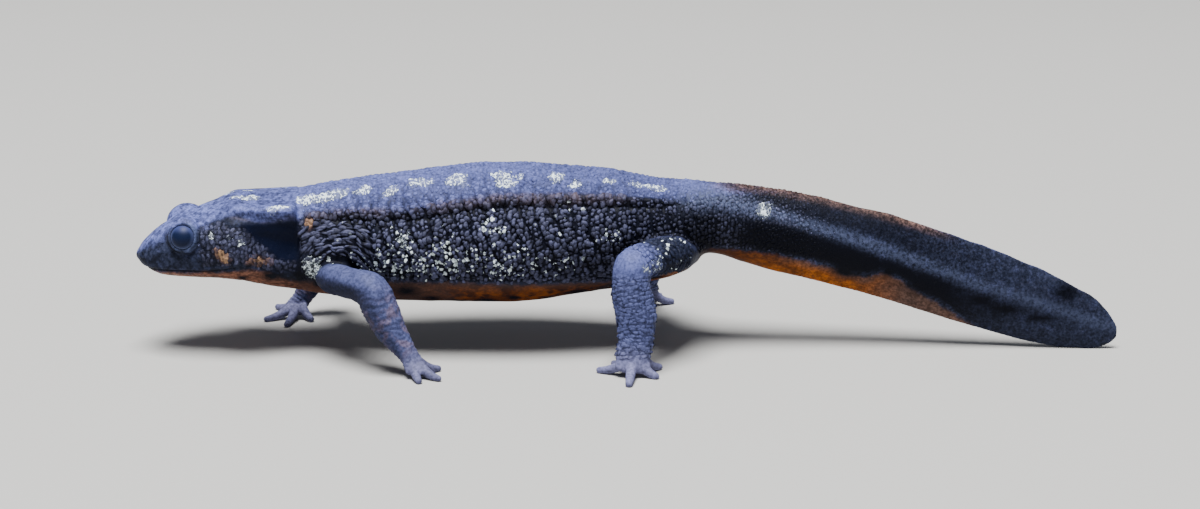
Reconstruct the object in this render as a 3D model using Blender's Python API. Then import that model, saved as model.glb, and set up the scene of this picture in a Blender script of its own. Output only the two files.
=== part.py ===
"""A sword-tailed newt standing on four feet with the end of its tail on the floor, at life size.

The animal lies along X with its snout towards -X and its left side towards -Y. Sizes are in
millimetres and become metres where a mesh is made. Head, neck, torso and tail are lofts of upright
cross-sections, the limbs and toes are lofts along bent paths, and every solid is closed.
"""

import math

import bmesh
import bpy
import numpy as np
from mathutils import Vector

MM = 0.001
GAP = 0.3  # between neighbouring solids

# Where the body is parted, along X
SNOUT_TIP = -65.1
HEAD_END = -42.5
NECK_END = -39.6
TORSO_END = 14.6
TAIL_BASE_END = 34.0
TAIL_MIDDLE_END = 54.0
TAIL_TIP = 73.6

SNOUT_HEIGHT = 14.15  # height of the foremost point
SNOUT_ROUNDING = 1.4  # length over which the snout's end rounds off
TAIL_TIP_HEIGHT = 2.3
TAIL_ROUNDING = 4.5

# The body's outline: x, top, bottom, height of the widest line, half width
OUTLINE = [
    (-65.1, 15.15, 13.3, 14.15, 1.9),
    (-63.9, 16.15, 12.55, 14.1, 2.75),
    (-61.6, 18.05, 11.35, 14.2, 4.2),
    (-57.8, 19.9, 10.95, 15.0, 5.5),
    (-54.3, 21.15, 10.75, 15.3, 6.7),
    (-51.0, 22.3, 10.35, 15.2, 7.4),
    (-47.0, 22.25, 9.4, 15.1, 7.4),
    (-43.0, 22.7, 8.5, 15.2, 7.1),
    (-39.0, 23.4, 7.65, 15.4, 7.8),
    (-28.0, 24.85, 6.7, 16.0, 9.5),
    (-14.0, 26.15, 6.35, 16.4, 10.2),
    (0.0, 25.45, 8.15, 17.0, 8.6),
    (9.0, 24.0, 9.85, 17.6, 6.7),
    (12.3, 23.8, 11.0, 18.1, 5.8),
    (15.2, 23.75, 13.5, 18.7, 4.7),
    (22.0, 23.3, 11.6, 17.9, 3.5),
    (37.5, 20.1, 7.7, 14.1, 2.6),
    (52.0, 15.6, 3.3, 9.0, 1.8),
    (62.0, 11.7, 0.7, 5.9, 1.25),
    (68.0, 8.6, -0.1, 3.9, 0.9),
    (73.6, 5.6, 0.0, 2.4, 0.6),
]
# The section's character: x, crown, keel, flank, edge. 1 is round, below 1 is flat-topped or
# boxy, and a flank of 2 thins out to a fin whose edge is that half thickness
CHARACTER = [
    (-65.1, 0.9, 0.9, 0.9, 0.0),
    (-58.0, 0.75, 0.7, 0.85, 0.0),
    (-47.0, 0.8, 0.8, 0.85, 0.0),
    (-39.0, 1.0, 0.95, 1.0, 0.0),
    (5.0, 1.0, 0.95, 1.0, 0.0),
    (15.2, 1.0, 1.0, 1.1, 0.1),
    (24.0, 1.0, 1.0, 1.7, 0.3),
    (40.0, 1.0, 1.0, 2.0, 0.33),
    (73.6, 1.0, 1.0, 1.6, 0.3),
]
EDGE_LIMIT = 0.5  # largest share of the half width that a fin's edge may take
EDGE_POWER = 0.3  # how square that edge is
# The spine's sideways sway: x, y. The head turns a little to its left
SWAY = [
    (-65.8, -3.4),
    (-58.0, -2.05),
    (-50.0, -0.8),
    (-42.0, 0.0),
    (-30.0, 0.7),
    (-16.0, 1.1),
    (8.0, 0.3),
    (24.0, -0.1),
    (50.0, -1.0),
    (74.5, -2.4),
]
SPINE_STEP = 0.05  # length over which the sway's slope is read

# Forms raised on the body: along = where it begins and ends, blend = length over which it comes up
# and dies away, angle = degrees from the top at even steps along it, spread above and below it, rise =
# height at its two ends
FORMS = {
    "vertebral ridge": dict(along=(-54, 18), blend=(6, 6), angle=(0, 0), spread=(7, 7), rise=(0.2, 0.4)),
    "dorsolateral ridge": dict(
        along=(-40, 12), blend=(5, 5), angle=(49, 54.5, 48, 47.5, 46), spread=(7, 5), rise=(0.6, 0.6)
    ),
    "parotoid shelf": dict(
        along=(-54, -42.3), blend=(3, 0.01), angle=(36, 54), spread=(14, 5), rise=(0.2, 2.1)
    ),
    "hollow under the shelf": dict(
        along=(-52, -41.6), blend=(5, 1.2), angle=(72, 82), spread=(12, 22), rise=(-0.6, -1.4)
    ),
    "jaw muscle": dict(along=(-56, -47.5), blend=(3, 3), angle=(92, 92), spread=(22, 22), rise=(0.7, 0.7)),
    "snout's edge": dict(along=(-64, -57), blend=(2, 2), angle=(50, 44), spread=(12, 10), rise=(0.15, 0.3)),
}

MOUTH_HEIGHT = 12.75
MOUTH_CORNER = -53.2
MOUTH_DEPTH = 0.4
MOUTH_HALF_WIDTH = 4.0  # degrees round the section
MOUTH_ANGLE_LIMITS = (96.0, 122.0)
MOUTH_DROP_LIMIT = 0.98  # largest share of the way down from the widest line to the keel
MOUTH_FADES = (1.5, 0.6)  # lengths over which the mouth dies away at its corner and at the snout
LIP_SWELL = 0.14

# The eyes and nostrils are placed by x along the spine, the way out from it, and height
EYE_RADIUS = 2.05
EYE_CENTRE = (-58.25, 4.35, 17.35)
EYE_GAZE = (-0.25, 0.93, 0.25)
BROW_RADIUS = 2.97  # the fleshy bulge that holds each eye
BROW_INSET = 0.95  # how far it lies inwards of the eye, against the gaze
BROW_SHIFT = (-0.02, 0.0, 0.25)  # how far it then lies backwards and up
LID_RADIUS = 1.93
LID_THICKNESS = 0.42
LID_FORWARD = 1.3  # how far the lid ring stands out along the gaze

NOSTRIL = (-64.55, 1.45, 14.4)
NOSTRIL_RADIUS = 0.28

# Limbs. path = points (x, y, z), each with its width and its thickness; wide = the way its width
# lies; split = where the hand or foot begins, counted in path points from the root; digits = each
# one's root in the hand or foot and its tip on the floor (x, y)
LIMBS = [
    dict(
        leg="foreleg_left",
        foot="hand_left",
        wide=(0.83, 0.56, 0.0),
        path=[
            ((-37.6, -3.5, 12.2), 5.4, 5.0),
            ((-36.9, -7.8, 12.0), 4.6, 4.5),
            ((-34.1, -10.5, 11.9), 4.2, 4.3),
            ((-31.3, -12.4, 11.4), 4.9, 4.9),
            ((-30.0, -13.1, 9.1), 5.0, 4.5),
            ((-28.7, -13.6, 6.5), 4.5, 3.9),
            ((-27.3, -14.2, 4.4), 3.4, 2.9),
            ((-26.0, -14.8, 2.7), 2.9, 2.0),
            ((-25.1, -15.5, 1.2), 3.3, 1.3),
        ],
        split=6.7,
        digits=[
            ((-26.2, -14.0, 2.1), (-25.6, -11.0)),
            ((-24.9, -14.6, 1.9), (-22.3, -12.9)),
            ((-24.7, -15.4, 1.6), (-21.9, -17.3)),
            ((-25.5, -15.6, 1.5), (-24.5, -18.3)),
        ],
    ),
    dict(
        leg="foreleg_right",
        foot="hand_right",
        wide=(1.0, 0.0, 0.0),
        path=[
            ((-37.8, 3.5, 12.4), 5.4, 5.0),
            ((-38.3, 8.2, 12.2), 4.6, 4.5),
            ((-38.7, 11.6, 11.4), 4.2, 4.2),
            ((-39.4, 13.6, 9.9), 4.8, 4.4),
            ((-41.0, 14.1, 7.8), 4.6, 4.0),
            ((-42.5, 14.0, 5.8), 4.0, 3.4),
            ((-43.7, 13.9, 4.1), 3.2, 2.7),
            ((-44.7, 13.7, 2.6), 2.9, 2.0),
            ((-45.6, 13.3, 1.2), 3.3, 1.3),
        ],
        split=6.7,
        digits=[
            ((-44.5, 12.6, 1.9), (-42.9, 10.7)),
            ((-45.3, 12.5, 1.6), (-46.1, 7.9)),
            ((-45.9, 12.9, 1.5), (-49.5, 10.7)),
            ((-45.6, 14.1, 1.7), (-48.8, 17.2)),
        ],
    ),
    dict(
        leg="hindleg_left",
        foot="foot_left",
        wide=(1.0, 0.0, 0.0),
        path=[
            ((11.0, -1.5, 14.9), 7.4, 6.6),
            ((9.4, -6.2, 15.0), 6.8, 5.8),
            ((6.8, -9.9, 15.2), 5.7, 4.9),
            ((4.5, -12.0, 14.8), 5.0, 4.6),
            ((4.15, -12.7, 12.5), 5.3, 4.6),
            ((4.6, -13.2, 9.8), 5.8, 4.3),
            ((5.0, -13.7, 7.6), 5.7, 3.8),
            ((4.9, -14.2, 5.4), 5.05, 3.0),
            ((4.6, -14.8, 3.2), 4.9, 2.2),
            ((4.4, -15.6, 1.2), 4.7, 1.3),
        ],
        split=7.5,
        digits=[
            ((3.6, -14.0, 2.1), (1.9, -10.6)),
            ((3.2, -14.9, 1.6), (-0.1, -13.6)),
            ((4.3, -15.7, 1.4), (3.9, -19.6)),
            ((5.6, -15.2, 1.7), (7.6, -16.2)),
            ((5.9, -14.2, 2.0), (8.2, -12.1)),
        ],
    ),
    dict(
        leg="hindleg_right",
        foot="foot_right",
        wide=(1.0, 0.0, 0.0),
        path=[
            ((11.0, 1.5, 14.9), 7.4, 6.6),
            ((9.8, 6.2, 15.0), 6.8, 5.8),
            ((7.7, 10.5, 15.2), 5.7, 4.9),
            ((6.0, 13.2, 14.5), 5.0, 4.6),
            ((5.4, 14.6, 12.0), 5.3, 4.6),
            ((5.6, 15.8, 9.2), 5.6, 4.2),
            ((6.0, 16.8, 6.8), 5.3, 3.7),
            ((6.3, 17.8, 4.7), 4.9, 2.9),
            ((6.5, 18.8, 2.9), 4.8, 2.2),
            ((6.6, 19.9, 1.2), 4.7, 1.3),
        ],
        split=7.5,
        digits=[
            ((5.3, 18.6, 2.1), (2.5, 17.4)),
            ((5.4, 19.5, 1.6), (2.2, 21.5)),
            ((6.4, 20.2, 1.4), (5.0, 24.2)),
            ((7.5, 19.8, 1.6), (9.2, 23.3)),
            ((7.9, 18.9, 2.1), (10.9, 20.1)),
        ],
    ),
]
TOE_ROOT_WIDTH = 1.55
TOE_TIP_WIDTH = 0.95
TOE_LENGTH_PULL = 0.55  # how far along a toe its path comes down to the floor
TOE_DROP = 0.25  # share of its root's height above its rest that a toe has left there
TOE_REST_HEIGHT = 0.4  # height of a toe's middle where it rests: less than its radius, so it has a flat
END_TURNS = (35, 65)  # where the rings that round off a limb's end lie, in degrees
PATH_STEP = 0.05  # part of a path step over which its direction is read
PATH_PROBE = 0.1  # part of a path step over which its length is read
TRUNK_CLEARANCE = 0.36  # between the trunk and the legs' roots

HEAD_RINGS = 34
HEAD_CROWDING = 1.5  # above 1 the rings crowd towards the snout
SHELF_DROP = 9.0  # degrees from the shelf's edge down to the hollow under it
HEAD_COLUMNS = (7, 8, 5)  # above the shelf's edge, from there to the mouth, and below the mouth
TORSO_RINGS = 28
NECK_RINGS = 3
TAIL_RINGS = 10
TAIL_END_RINGS = 14
TAIL_END_CROWDING = 0.85  # below 1 the rings crowd less towards the tip
BODY_COLUMNS = 17  # on each half of a ring
LEG_RINGS = 20
PALM_RINGS = 6
TOE_RINGS = 6
LIMB_SIDES = 14
TOE_SIDES = 8
BALL_FACETS = (20, 12)  # round a ball and from pole to pole
SOCKET_FACETS = (24, 16)
NOSTRIL_FACETS = (8, 6)
LID_FACETS = (24, 8)  # round the lid ring and round its thickness
SHARP_ANGLE = 50.0
FLOOR_SLAB = (300.0, 200.0, 20.0)  # what is cut away under the floor

# Each finish is a colour and a roughness
SKIN = ((0.045, 0.045, 0.075, 1.0), 0.45)
LIMB_SKIN = ((0.085, 0.085, 0.15, 1.0), 0.5)
EYE = ((0.008, 0.01, 0.03, 1.0), 0.1)


def eased(x, rows, column):
    """A smooth curve through the rows' first and given column, with no overshoot."""
    xs = np.array([row[0] for row in rows], float)
    ys = np.array([row[column] for row in rows], float)
    steps = np.diff(xs)
    slopes = np.diff(ys) / steps
    tangents = np.zeros(len(xs))
    same_way = slopes[:-1] * slopes[1:] > 0
    weight_a = 2 * steps[1:] + steps[:-1]
    weight_b = steps[1:] + 2 * steps[:-1]
    before = np.where(same_way, slopes[:-1], 1.0)
    after = np.where(same_way, slopes[1:], 1.0)
    middle = (weight_a + weight_b) / (weight_a / before + weight_b / after)
    tangents[1:-1] = np.where(same_way, middle, 0.0)
    tangents[0], tangents[-1] = slopes[0], slopes[-1]
    x = np.clip(x, xs[0], xs[-1])
    i = np.clip(np.searchsorted(xs, x) - 1, 0, len(steps) - 1)
    t = (x - xs[i]) / steps[i]
    return (
        (1 + 2 * t) * (1 - t) ** 2 * ys[i]
        + t * (1 - t) ** 2 * steps[i] * tangents[i]
        + t**2 * (3 - 2 * t) * ys[i + 1]
        + t**2 * (t - 1) * steps[i] * tangents[i + 1]
    )


def smoothstep(value):
    value = np.clip(value, 0.0, 1.0)
    return value * value * (3 - 2 * value)


def form_height(name, x, angle):
    """How far a raised form pushes the skin out at x and at this angle in degrees from the top."""
    form = FORMS[name]
    start, end = form["along"]
    share = min(max((x - start) / (end - start), 0.0), 1.0)
    centre = np.interp(share, np.linspace(0, 1, len(form["angle"])), form["angle"])
    rise = form["rise"][0] + share * (form["rise"][1] - form["rise"][0])
    fade = smoothstep((x - start) / form["blend"][0]) * smoothstep((end - x) / form["blend"][1])
    spread = np.where(angle < centre, form["spread"][0], form["spread"][1])
    return rise * fade * np.exp(-(((angle - centre) / spread) ** 2))


def body_frame(x):
    """Top, bottom, widest height and half width at x, rounded off at the snout and the tail's tip."""
    top, bottom, widest, half = (float(eased(x, OUTLINE, column)) for column in (1, 2, 3, 4))
    for end, length, height in (
        (SNOUT_TIP, SNOUT_ROUNDING, SNOUT_HEIGHT),
        (TAIL_TIP, TAIL_ROUNDING, TAIL_TIP_HEIGHT),
    ):
        inward = min(abs(x - end) / length, 1.0)
        rounding = math.sqrt(max(1 - (1 - inward) ** 2, 0.0))
        top, bottom, widest = (height + (value - height) * rounding for value in (top, bottom, widest))
        half *= rounding
    return top, bottom, widest, half


def body_half_ring(x, angles, grow=0.0):
    """The left half of the section at x: points from the top to the bottom at these angles."""
    top, bottom, widest, half = body_frame(x)
    crown, keel, flank, edge = (float(eased(x, CHARACTER, column)) for column in (1, 2, 3, 4))
    radians = np.radians(angles)
    cosine, sine = np.cos(radians), np.abs(np.sin(radians))
    height = np.where(cosine > 0, top - widest, widest - bottom)
    power = np.where(cosine > 0, crown, keel)
    z = widest + np.sign(cosine) * height * np.abs(cosine) ** power
    edge = min(edge, half * EDGE_LIMIT)
    y = (half - edge) * sine**flank + edge * sine**EDGE_POWER
    push = grow + sum(form_height(name, x, angles) for name in FORMS)
    reach = np.hypot(y, z - widest)
    outward_y = y / np.maximum(reach, 1e-6)
    outward_z = (z - widest) / np.maximum(reach, 1e-6)
    on_plane = (angles < 0.01) | (angles > 179.99)
    y = np.where(on_plane, 0.0, y + push * outward_y)
    z = z + push * outward_z
    return y, z


def spine(x):
    """The spine's y at x, and the level direction square to it, towards the right."""
    slope = float(eased(x + SPINE_STEP, SWAY, 1) - eased(x - SPINE_STEP, SWAY, 1)) / (2 * SPINE_STEP)
    length = math.hypot(1.0, slope)
    return float(eased(x, SWAY, 1)), np.array([-slope / length, 1.0 / length])


def out_from_spine(x, out, z, side):
    """A point so far out from the spine on one side: 1 is the left, -1 the right."""
    y, rightwards = spine(x)
    return Vector((x - side * out * rightwards[0], y - side * out * rightwards[1], z))


def full_ring(x, angles, grow=0.0, swell=None):
    """A closed ring of points: down the left side and up the right. swell moves each one out."""
    out, z = body_half_ring(x, angles, grow)
    if swell is not None:
        out = out + swell
    y, rightwards = spine(x)
    middle = np.column_stack([np.full(len(z), x), np.full(len(z), y), z])
    reach = np.column_stack([out * rightwards[0], out * rightwards[1], np.zeros(len(z))])
    return np.vstack([middle - reach, (middle + reach)[-2:0:-1]])


def collection_named(name):
    found = bpy.data.collections.new(name)
    bpy.context.scene.collection.children.link(found)
    return found


def mesh_object(name, points, faces, collection):
    """A mesh object from points in millimetres."""
    mesh = bpy.data.meshes.new(name)
    mesh.from_pydata([tuple(point) for point in np.asarray(points) * MM], [], faces)
    built = bmesh.new()
    built.from_mesh(mesh)
    bmesh.ops.recalc_face_normals(built, faces=built.faces)
    built.to_mesh(mesh)
    built.free()
    obj = bpy.data.objects.new(name, mesh)
    collection.objects.link(obj)
    return obj


def loft(name, rings, collection, pointed_start=None, pointed_end=None):
    """A closed loft through rings of equal length. Its triangles lie alike on both sides."""
    sides = len(rings[0])
    points = np.vstack(rings)
    start = np.mean(rings[0], axis=0) if pointed_start is None else pointed_start
    end = np.mean(rings[-1], axis=0) if pointed_end is None else pointed_end
    points = np.vstack([points, start, end])
    start_index, end_index = len(points) - 2, len(points) - 1
    faces = []
    for ring in range(len(rings) - 1):
        for side in range(sides):
            a, b = ring * sides + side, ring * sides + (side + 1) % sides
            c, d = b + sides, a + sides
            if side < sides // 2:
                faces += [(a, d, c), (a, c, b)]
            else:
                faces += [(a, d, b), (b, d, c)]
    last = (len(rings) - 1) * sides
    for side in range(sides):
        following = (side + 1) % sides
        faces.append((start_index, side, following))
        faces.append((end_index, last + following, last + side))
    return mesh_object(name, points, faces, collection)


def applied(obj):
    """Bakes the object's modifiers into its mesh."""
    graph = bpy.context.evaluated_depsgraph_get()
    mesh = bpy.data.meshes.new_from_object(obj.evaluated_get(graph))
    obj.modifiers.clear()
    obj.data = mesh
    return obj


def keep_largest(obj):
    """Leaves only the object's largest closed surface."""
    built = bmesh.new()
    built.from_mesh(obj.data)
    left, islands = set(built.verts), []
    while left:
        island, edge_of_search = set(), [left.pop()]
        while edge_of_search:
            vertex = edge_of_search.pop()
            island.add(vertex)
            for edge in vertex.link_edges:
                other = edge.other_vert(vertex)
                if other in left:
                    left.remove(other)
                    edge_of_search.append(other)
        islands.append(island)
    islands.sort(key=len)
    for island in islands[:-1]:
        bmesh.ops.delete(built, geom=list(island), context="VERTS")
    built.to_mesh(obj.data)
    built.free()


def joined(name, pieces, collection):
    """One solid from closed pieces that overlap."""
    base, others = pieces[0], collection_named(name + " pieces")
    for piece in pieces[1:]:
        collection.objects.unlink(piece)
        others.objects.link(piece)
    union = base.modifiers.new("Union", "BOOLEAN")
    union.operation, union.solver = "UNION", "EXACT"
    union.operand_type, union.collection = "COLLECTION", others
    applied(base)
    for piece in pieces[1:]:
        bpy.data.objects.remove(piece)
    bpy.data.collections.remove(others)
    base.name = name
    return base


def cut(obj, cutters):
    """Takes each cutter's space out of the object."""
    for cutter in cutters:
        difference = obj.modifiers.new("Cut", "BOOLEAN")
        difference.operation, difference.solver, difference.object = "DIFFERENCE", "EXACT", cutter
    applied(obj)
    keep_largest(obj)
    return obj


def material(name, look):
    colour, roughness = look
    made = bpy.data.materials.new(name)
    made.use_nodes = True
    shader = made.node_tree.nodes["Principled BSDF"]
    shader.inputs["Base Color"].default_value = colour
    shader.inputs["Roughness"].default_value = roughness
    shader.inputs["Metallic"].default_value = 0.0
    return made


def finish(obj, name, look):
    obj.name = obj.data.name = name
    obj.data.materials.clear()
    obj.data.materials.append(look)
    obj.data.shade_smooth()
    obj.data.set_sharp_from_angle(angle=math.radians(SHARP_ANGLE))


def even_angles():
    return np.linspace(0.0, 180.0, BODY_COLUMNS + 1)


def mouth_angle(x):
    """The angle from the top at which the section at x is as high as the mouth line."""
    top, bottom, widest, half = body_frame(x)
    keel = float(eased(x, CHARACTER, 2))
    drop = min(max((widest - MOUTH_HEIGHT) / (widest - bottom), 0.0), MOUTH_DROP_LIMIT)
    angle = 180.0 - math.degrees(math.acos(drop ** (1 / keel)))
    return min(max(angle, MOUTH_ANGLE_LIMITS[0]), MOUTH_ANGLE_LIMITS[1])


def shelf_angle(x):
    """The angle from the top of the parotoid shelf's edge at x, held level beyond its ends."""
    form = FORMS["parotoid shelf"]
    return float(np.interp(x, form["along"], form["angle"]))


def head_ring(x):
    """A head section whose points follow the shelf's edge and the mouth between its lips."""
    above, between, below = HEAD_COLUMNS
    shelf, line = shelf_angle(x), mouth_angle(min(x, MOUTH_CORNER))
    upper_lip, lower_lip = line - MOUTH_HALF_WIDTH, line + MOUTH_HALF_WIDTH
    angles = np.concatenate(
        [
            np.linspace(0.0, shelf, above, endpoint=False),
            [shelf, shelf + SHELF_DROP / 2],
            np.linspace(shelf + SHELF_DROP, upper_lip, between),
            [line],
            np.linspace(lower_lip, 180.0, below),
        ]
    )
    at_corner, at_snout = MOUTH_FADES
    present = smoothstep((MOUTH_CORNER - x) / at_corner) * smoothstep((x - SNOUT_TIP) / at_snout)
    swell = np.zeros(len(angles))
    groove = above + 2 + between
    swell[groove] = -MOUTH_DEPTH * present
    swell[[groove - 1, groove + 1]] = LIP_SWELL * present
    return full_ring(x, angles, swell=swell)


def eye_places(side):
    """The eye's centre and gaze on one side: 1 is the left, -1 the right."""
    x, out, z = EYE_CENTRE
    centre = out_from_spine(x, out, z, side)
    forward, outward, up = EYE_GAZE
    rightwards = spine(x)[1]
    ahead = Vector((rightwards[1], -rightwards[0], 0.0))
    across = Vector((rightwards[0], rightwards[1], 0.0))
    return centre, (ahead * forward - across * side * outward + Vector((0.0, 0.0, up))).normalized()


def ball(name, radius, centre, collection, facets=BALL_FACETS):
    bpy.ops.mesh.primitive_uv_sphere_add(
        segments=facets[0], ring_count=facets[1], radius=radius * MM, location=centre * MM
    )
    obj = bpy.context.object
    obj.name = name
    bpy.context.collection.objects.unlink(obj)
    collection.objects.link(obj)
    return obj


def lid_ring(name, side, collection):
    """The fleshy ring of both lids round one eye."""
    centre, gaze = eye_places(side)
    bpy.ops.mesh.primitive_torus_add(
        major_segments=LID_FACETS[0],
        minor_segments=LID_FACETS[1],
        major_radius=LID_RADIUS * MM,
        minor_radius=LID_THICKNESS * MM,
        location=(centre + gaze * LID_FORWARD) * MM,
        rotation=gaze.to_track_quat("Z", "Y").to_euler(),
    )
    obj = bpy.context.object
    obj.name = name
    bpy.context.collection.objects.unlink(obj)
    collection.objects.link(obj)
    return obj


def make_head(parts, cutters):
    steps = np.linspace(0.0, 1.0, HEAD_RINGS)[1:]
    rings = [head_ring(SNOUT_TIP + (HEAD_END - SNOUT_TIP) * step**HEAD_CROWDING) for step in steps]
    tip = (SNOUT_TIP, spine(SNOUT_TIP)[0], SNOUT_HEIGHT)
    head = loft("head", rings, parts, pointed_start=tip)
    pieces, tools = [head], []
    for side in (1, -1):
        centre, gaze = eye_places(side)
        brow = centre - gaze * BROW_INSET + Vector(BROW_SHIFT)
        pieces.append(ball("brow", BROW_RADIUS, brow, parts))
        pieces.append(lid_ring("lids", side, parts))
        tools.append(ball("socket", EYE_RADIUS + GAP, centre, cutters, SOCKET_FACETS))
        nostril = out_from_spine(*NOSTRIL, side)
        tools.append(ball("nostril", NOSTRIL_RADIUS, nostril, cutters, NOSTRIL_FACETS))
    return cut(joined("head", pieces, parts), tools)


def make_eyes(parts, look):
    for side, name in ((1, "eye_left"), (-1, "eye_right")):
        centre, gaze = eye_places(side)
        finish(ball(name, EYE_RADIUS, centre, parts), name, look)


def body_rings(start, end, count, grow=0.0):
    return [full_ring(x, even_angles(), grow) for x in np.linspace(start, end, count)]


def make_tail_end(parts):
    """The tail's last length: rounded at its tip and cut flat where it rests on the floor."""
    start = TAIL_MIDDLE_END + GAP
    steps = np.sin(np.linspace(0.0, math.pi / 2, TAIL_END_RINGS, endpoint=False)) ** TAIL_END_CROWDING
    rings = [full_ring(start + (TAIL_TIP - start) * step, even_angles()) for step in steps]
    tip = (TAIL_TIP, spine(TAIL_TIP)[0], TAIL_TIP_HEIGHT)
    return loft("tail_end", rings, parts, pointed_end=tip)


def path_point(path, place):
    """Centre, width and thickness at a place along a limb's path, by a Catmull-Rom curve."""
    rows = np.array([(*centre, width, thickness) for centre, width, thickness in path], float)
    i = int(min(max(math.floor(place), 0), len(rows) - 2))
    t = place - i
    p0, p1, p2, p3 = rows[max(i - 1, 0)], rows[i], rows[i + 1], rows[min(i + 2, len(rows) - 1)]
    return 0.5 * (
        2 * p1
        + (p2 - p0) * t
        + (2 * p0 - 5 * p1 + 4 * p2 - p3) * t**2
        + (3 * p1 - p0 - 3 * p2 + p3) * t**3
    )


def limb_ring(path, place, sides, wide):
    """An elliptical ring square to the path, with its width lying towards the wide axis."""
    row = path_point(path, place)
    ahead = path_point(path, min(place + PATH_STEP, len(path) - 1))
    behind = path_point(path, max(place - PATH_STEP, 0.0))
    along = Vector(ahead[:3] - behind[:3]).normalized()
    across = (wide - along * wide.dot(along)).normalized()
    up = along.cross(across)
    turns = np.linspace(0.0, 2 * math.pi, sides, endpoint=False)
    return np.array(
        [
            Vector(row[:3])
            + across * (math.cos(turn) * row[3] / 2)
            + up * (math.sin(turn) * row[4] / 2)
            for turn in turns
        ]
    )


def limb(name, path, wide, places, collection, sides=LIMB_SIDES, round_end=False):
    """A loft along a path, flat at both ends or rounded off at its far end."""
    rings = [limb_ring(path, place, sides, wide) for place in places]
    if not round_end:
        return loft(name, rings, collection)
    beyond = rings[-1].mean(axis=0) - rings[-2].mean(axis=0)
    beyond = beyond / np.linalg.norm(beyond)
    reach = np.linalg.norm(rings[-1] - rings[-1].mean(axis=0), axis=1).min()
    last = rings[-1]
    for turn in END_TURNS:
        drawn_in = last.mean(axis=0) + (last - last.mean(axis=0)) * math.cos(math.radians(turn))
        rings.append(drawn_in + beyond * reach * math.sin(math.radians(turn)))
    return loft(name, rings, collection, pointed_end=last.mean(axis=0) + beyond * reach)


def toe(root, tip, collection):
    """A tapered toe from its root in the foot, down to the floor and along it to its tip."""
    root = Vector(root)
    tip = Vector((tip[0], tip[1], TOE_REST_HEIGHT))
    down = root.lerp(tip, TOE_LENGTH_PULL)
    down.z = TOE_REST_HEIGHT + TOE_DROP * (root.z - TOE_REST_HEIGHT)
    slim = TOE_TIP_WIDTH
    path = [
        (tuple(root), TOE_ROOT_WIDTH, TOE_ROOT_WIDTH),
        (tuple(down), (TOE_ROOT_WIDTH + slim) / 2, (TOE_ROOT_WIDTH + slim) / 2),
        (tuple(tip), slim, slim),
    ]
    along = (tip - root).normalized()
    across = Vector((0.0, 0.0, 1.0)).cross(along).normalized()
    places = np.linspace(0.0, 2.0, TOE_RINGS)
    return limb("digit", path, across, places, collection, TOE_SIDES, round_end=True)


def floor_cutter(cutters):
    """A slab whose top is the floor."""
    size = Vector(FLOOR_SLAB) * MM
    bpy.ops.mesh.primitive_cube_add(size=1.0, location=(0.0, 0.0, -size.z / 2))
    slab = bpy.context.object
    slab.name = "floor cutter"
    slab.scale = size
    bpy.ops.object.transform_apply(location=True, rotation=False, scale=True)
    bpy.context.collection.objects.unlink(slab)
    cutters.objects.link(slab)
    return slab


def make_limb(plan, look, parts, trunk_cutter, floor):
    """A leg cut to meet the trunk, and its hand or foot with all its digits."""
    path, wide, split = plan["path"], Vector(plan["wide"]).normalized(), plan["split"]
    leg = limb(plan["leg"], path, wide, np.linspace(0.0, split, LEG_RINGS), parts)
    finish(cut(leg, [trunk_cutter]), plan["leg"], look)
    probe = Vector(path_point(path, split + PATH_PROBE)[:3]) - Vector(path_point(path, split)[:3])
    foot_start = split + PATH_PROBE * GAP / probe.length
    places = np.linspace(foot_start, len(path) - 1.0, PALM_RINGS)
    palm = limb(plan["foot"], path, wide, places, parts, round_end=True)
    digits = [toe(root, tip, parts) for root, tip in plan["digits"]]
    finish(cut(joined(plan["foot"], [palm, *digits], parts), [floor]), plan["foot"], look)


def build():
    for obj in list(bpy.data.objects):
        bpy.data.objects.remove(obj)
    parts = collection_named("sword-tailed newt")
    cutters = collection_named("cutters")
    skin = material("dark skin", SKIN)
    limb_skin = material("limb skin", LIMB_SKIN)
    eye = material("eye", EYE)

    finish(make_head(parts, cutters), "head", skin)
    make_eyes(parts, eye)
    lengths = [
        ("neck", HEAD_END + GAP, NECK_END, NECK_RINGS),
        ("torso", NECK_END + GAP, TORSO_END, TORSO_RINGS),
        ("tail_base", TORSO_END + GAP, TAIL_BASE_END, TAIL_RINGS),
        ("tail_middle", TAIL_BASE_END + GAP, TAIL_MIDDLE_END, TAIL_RINGS),
    ]
    for name, start, end, count in lengths:
        finish(loft(name, body_rings(start, end, count), parts), name, skin)
    floor = floor_cutter(cutters)
    finish(cut(make_tail_end(parts), [floor]), "tail_end", skin)

    trunk_cutter = loft(
        "trunk cutter", body_rings(HEAD_END + GAP, TORSO_END, TORSO_RINGS, grow=TRUNK_CLEARANCE), cutters
    )
    for plan in LIMBS:
        make_limb(plan, limb_skin, parts, trunk_cutter, floor)

    for cutter in list(cutters.objects):
        bpy.data.objects.remove(cutter)
    stand_on_origin(parts)


def stand_on_origin(parts):
    """Hangs every part on an empty that puts the middle of their box, on the floor, at the origin."""
    bpy.context.view_layer.update()
    points = np.array(
        [obj.matrix_world @ vertex.co for obj in parts.objects for vertex in obj.data.vertices]
    )
    low, high = points.min(axis=0), points.max(axis=0)
    root = bpy.data.objects.new("newt", None)
    parts.objects.link(root)
    root.location = (-(low[0] + high[0]) / 2, -(low[1] + high[1]) / 2, -low[2])
    for obj in parts.objects:
        if obj is not root:
            obj.parent = root


build()
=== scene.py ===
import math

import bpy
import numpy as np
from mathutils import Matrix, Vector
from mathutils.bvhtree import BVHTree


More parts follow.
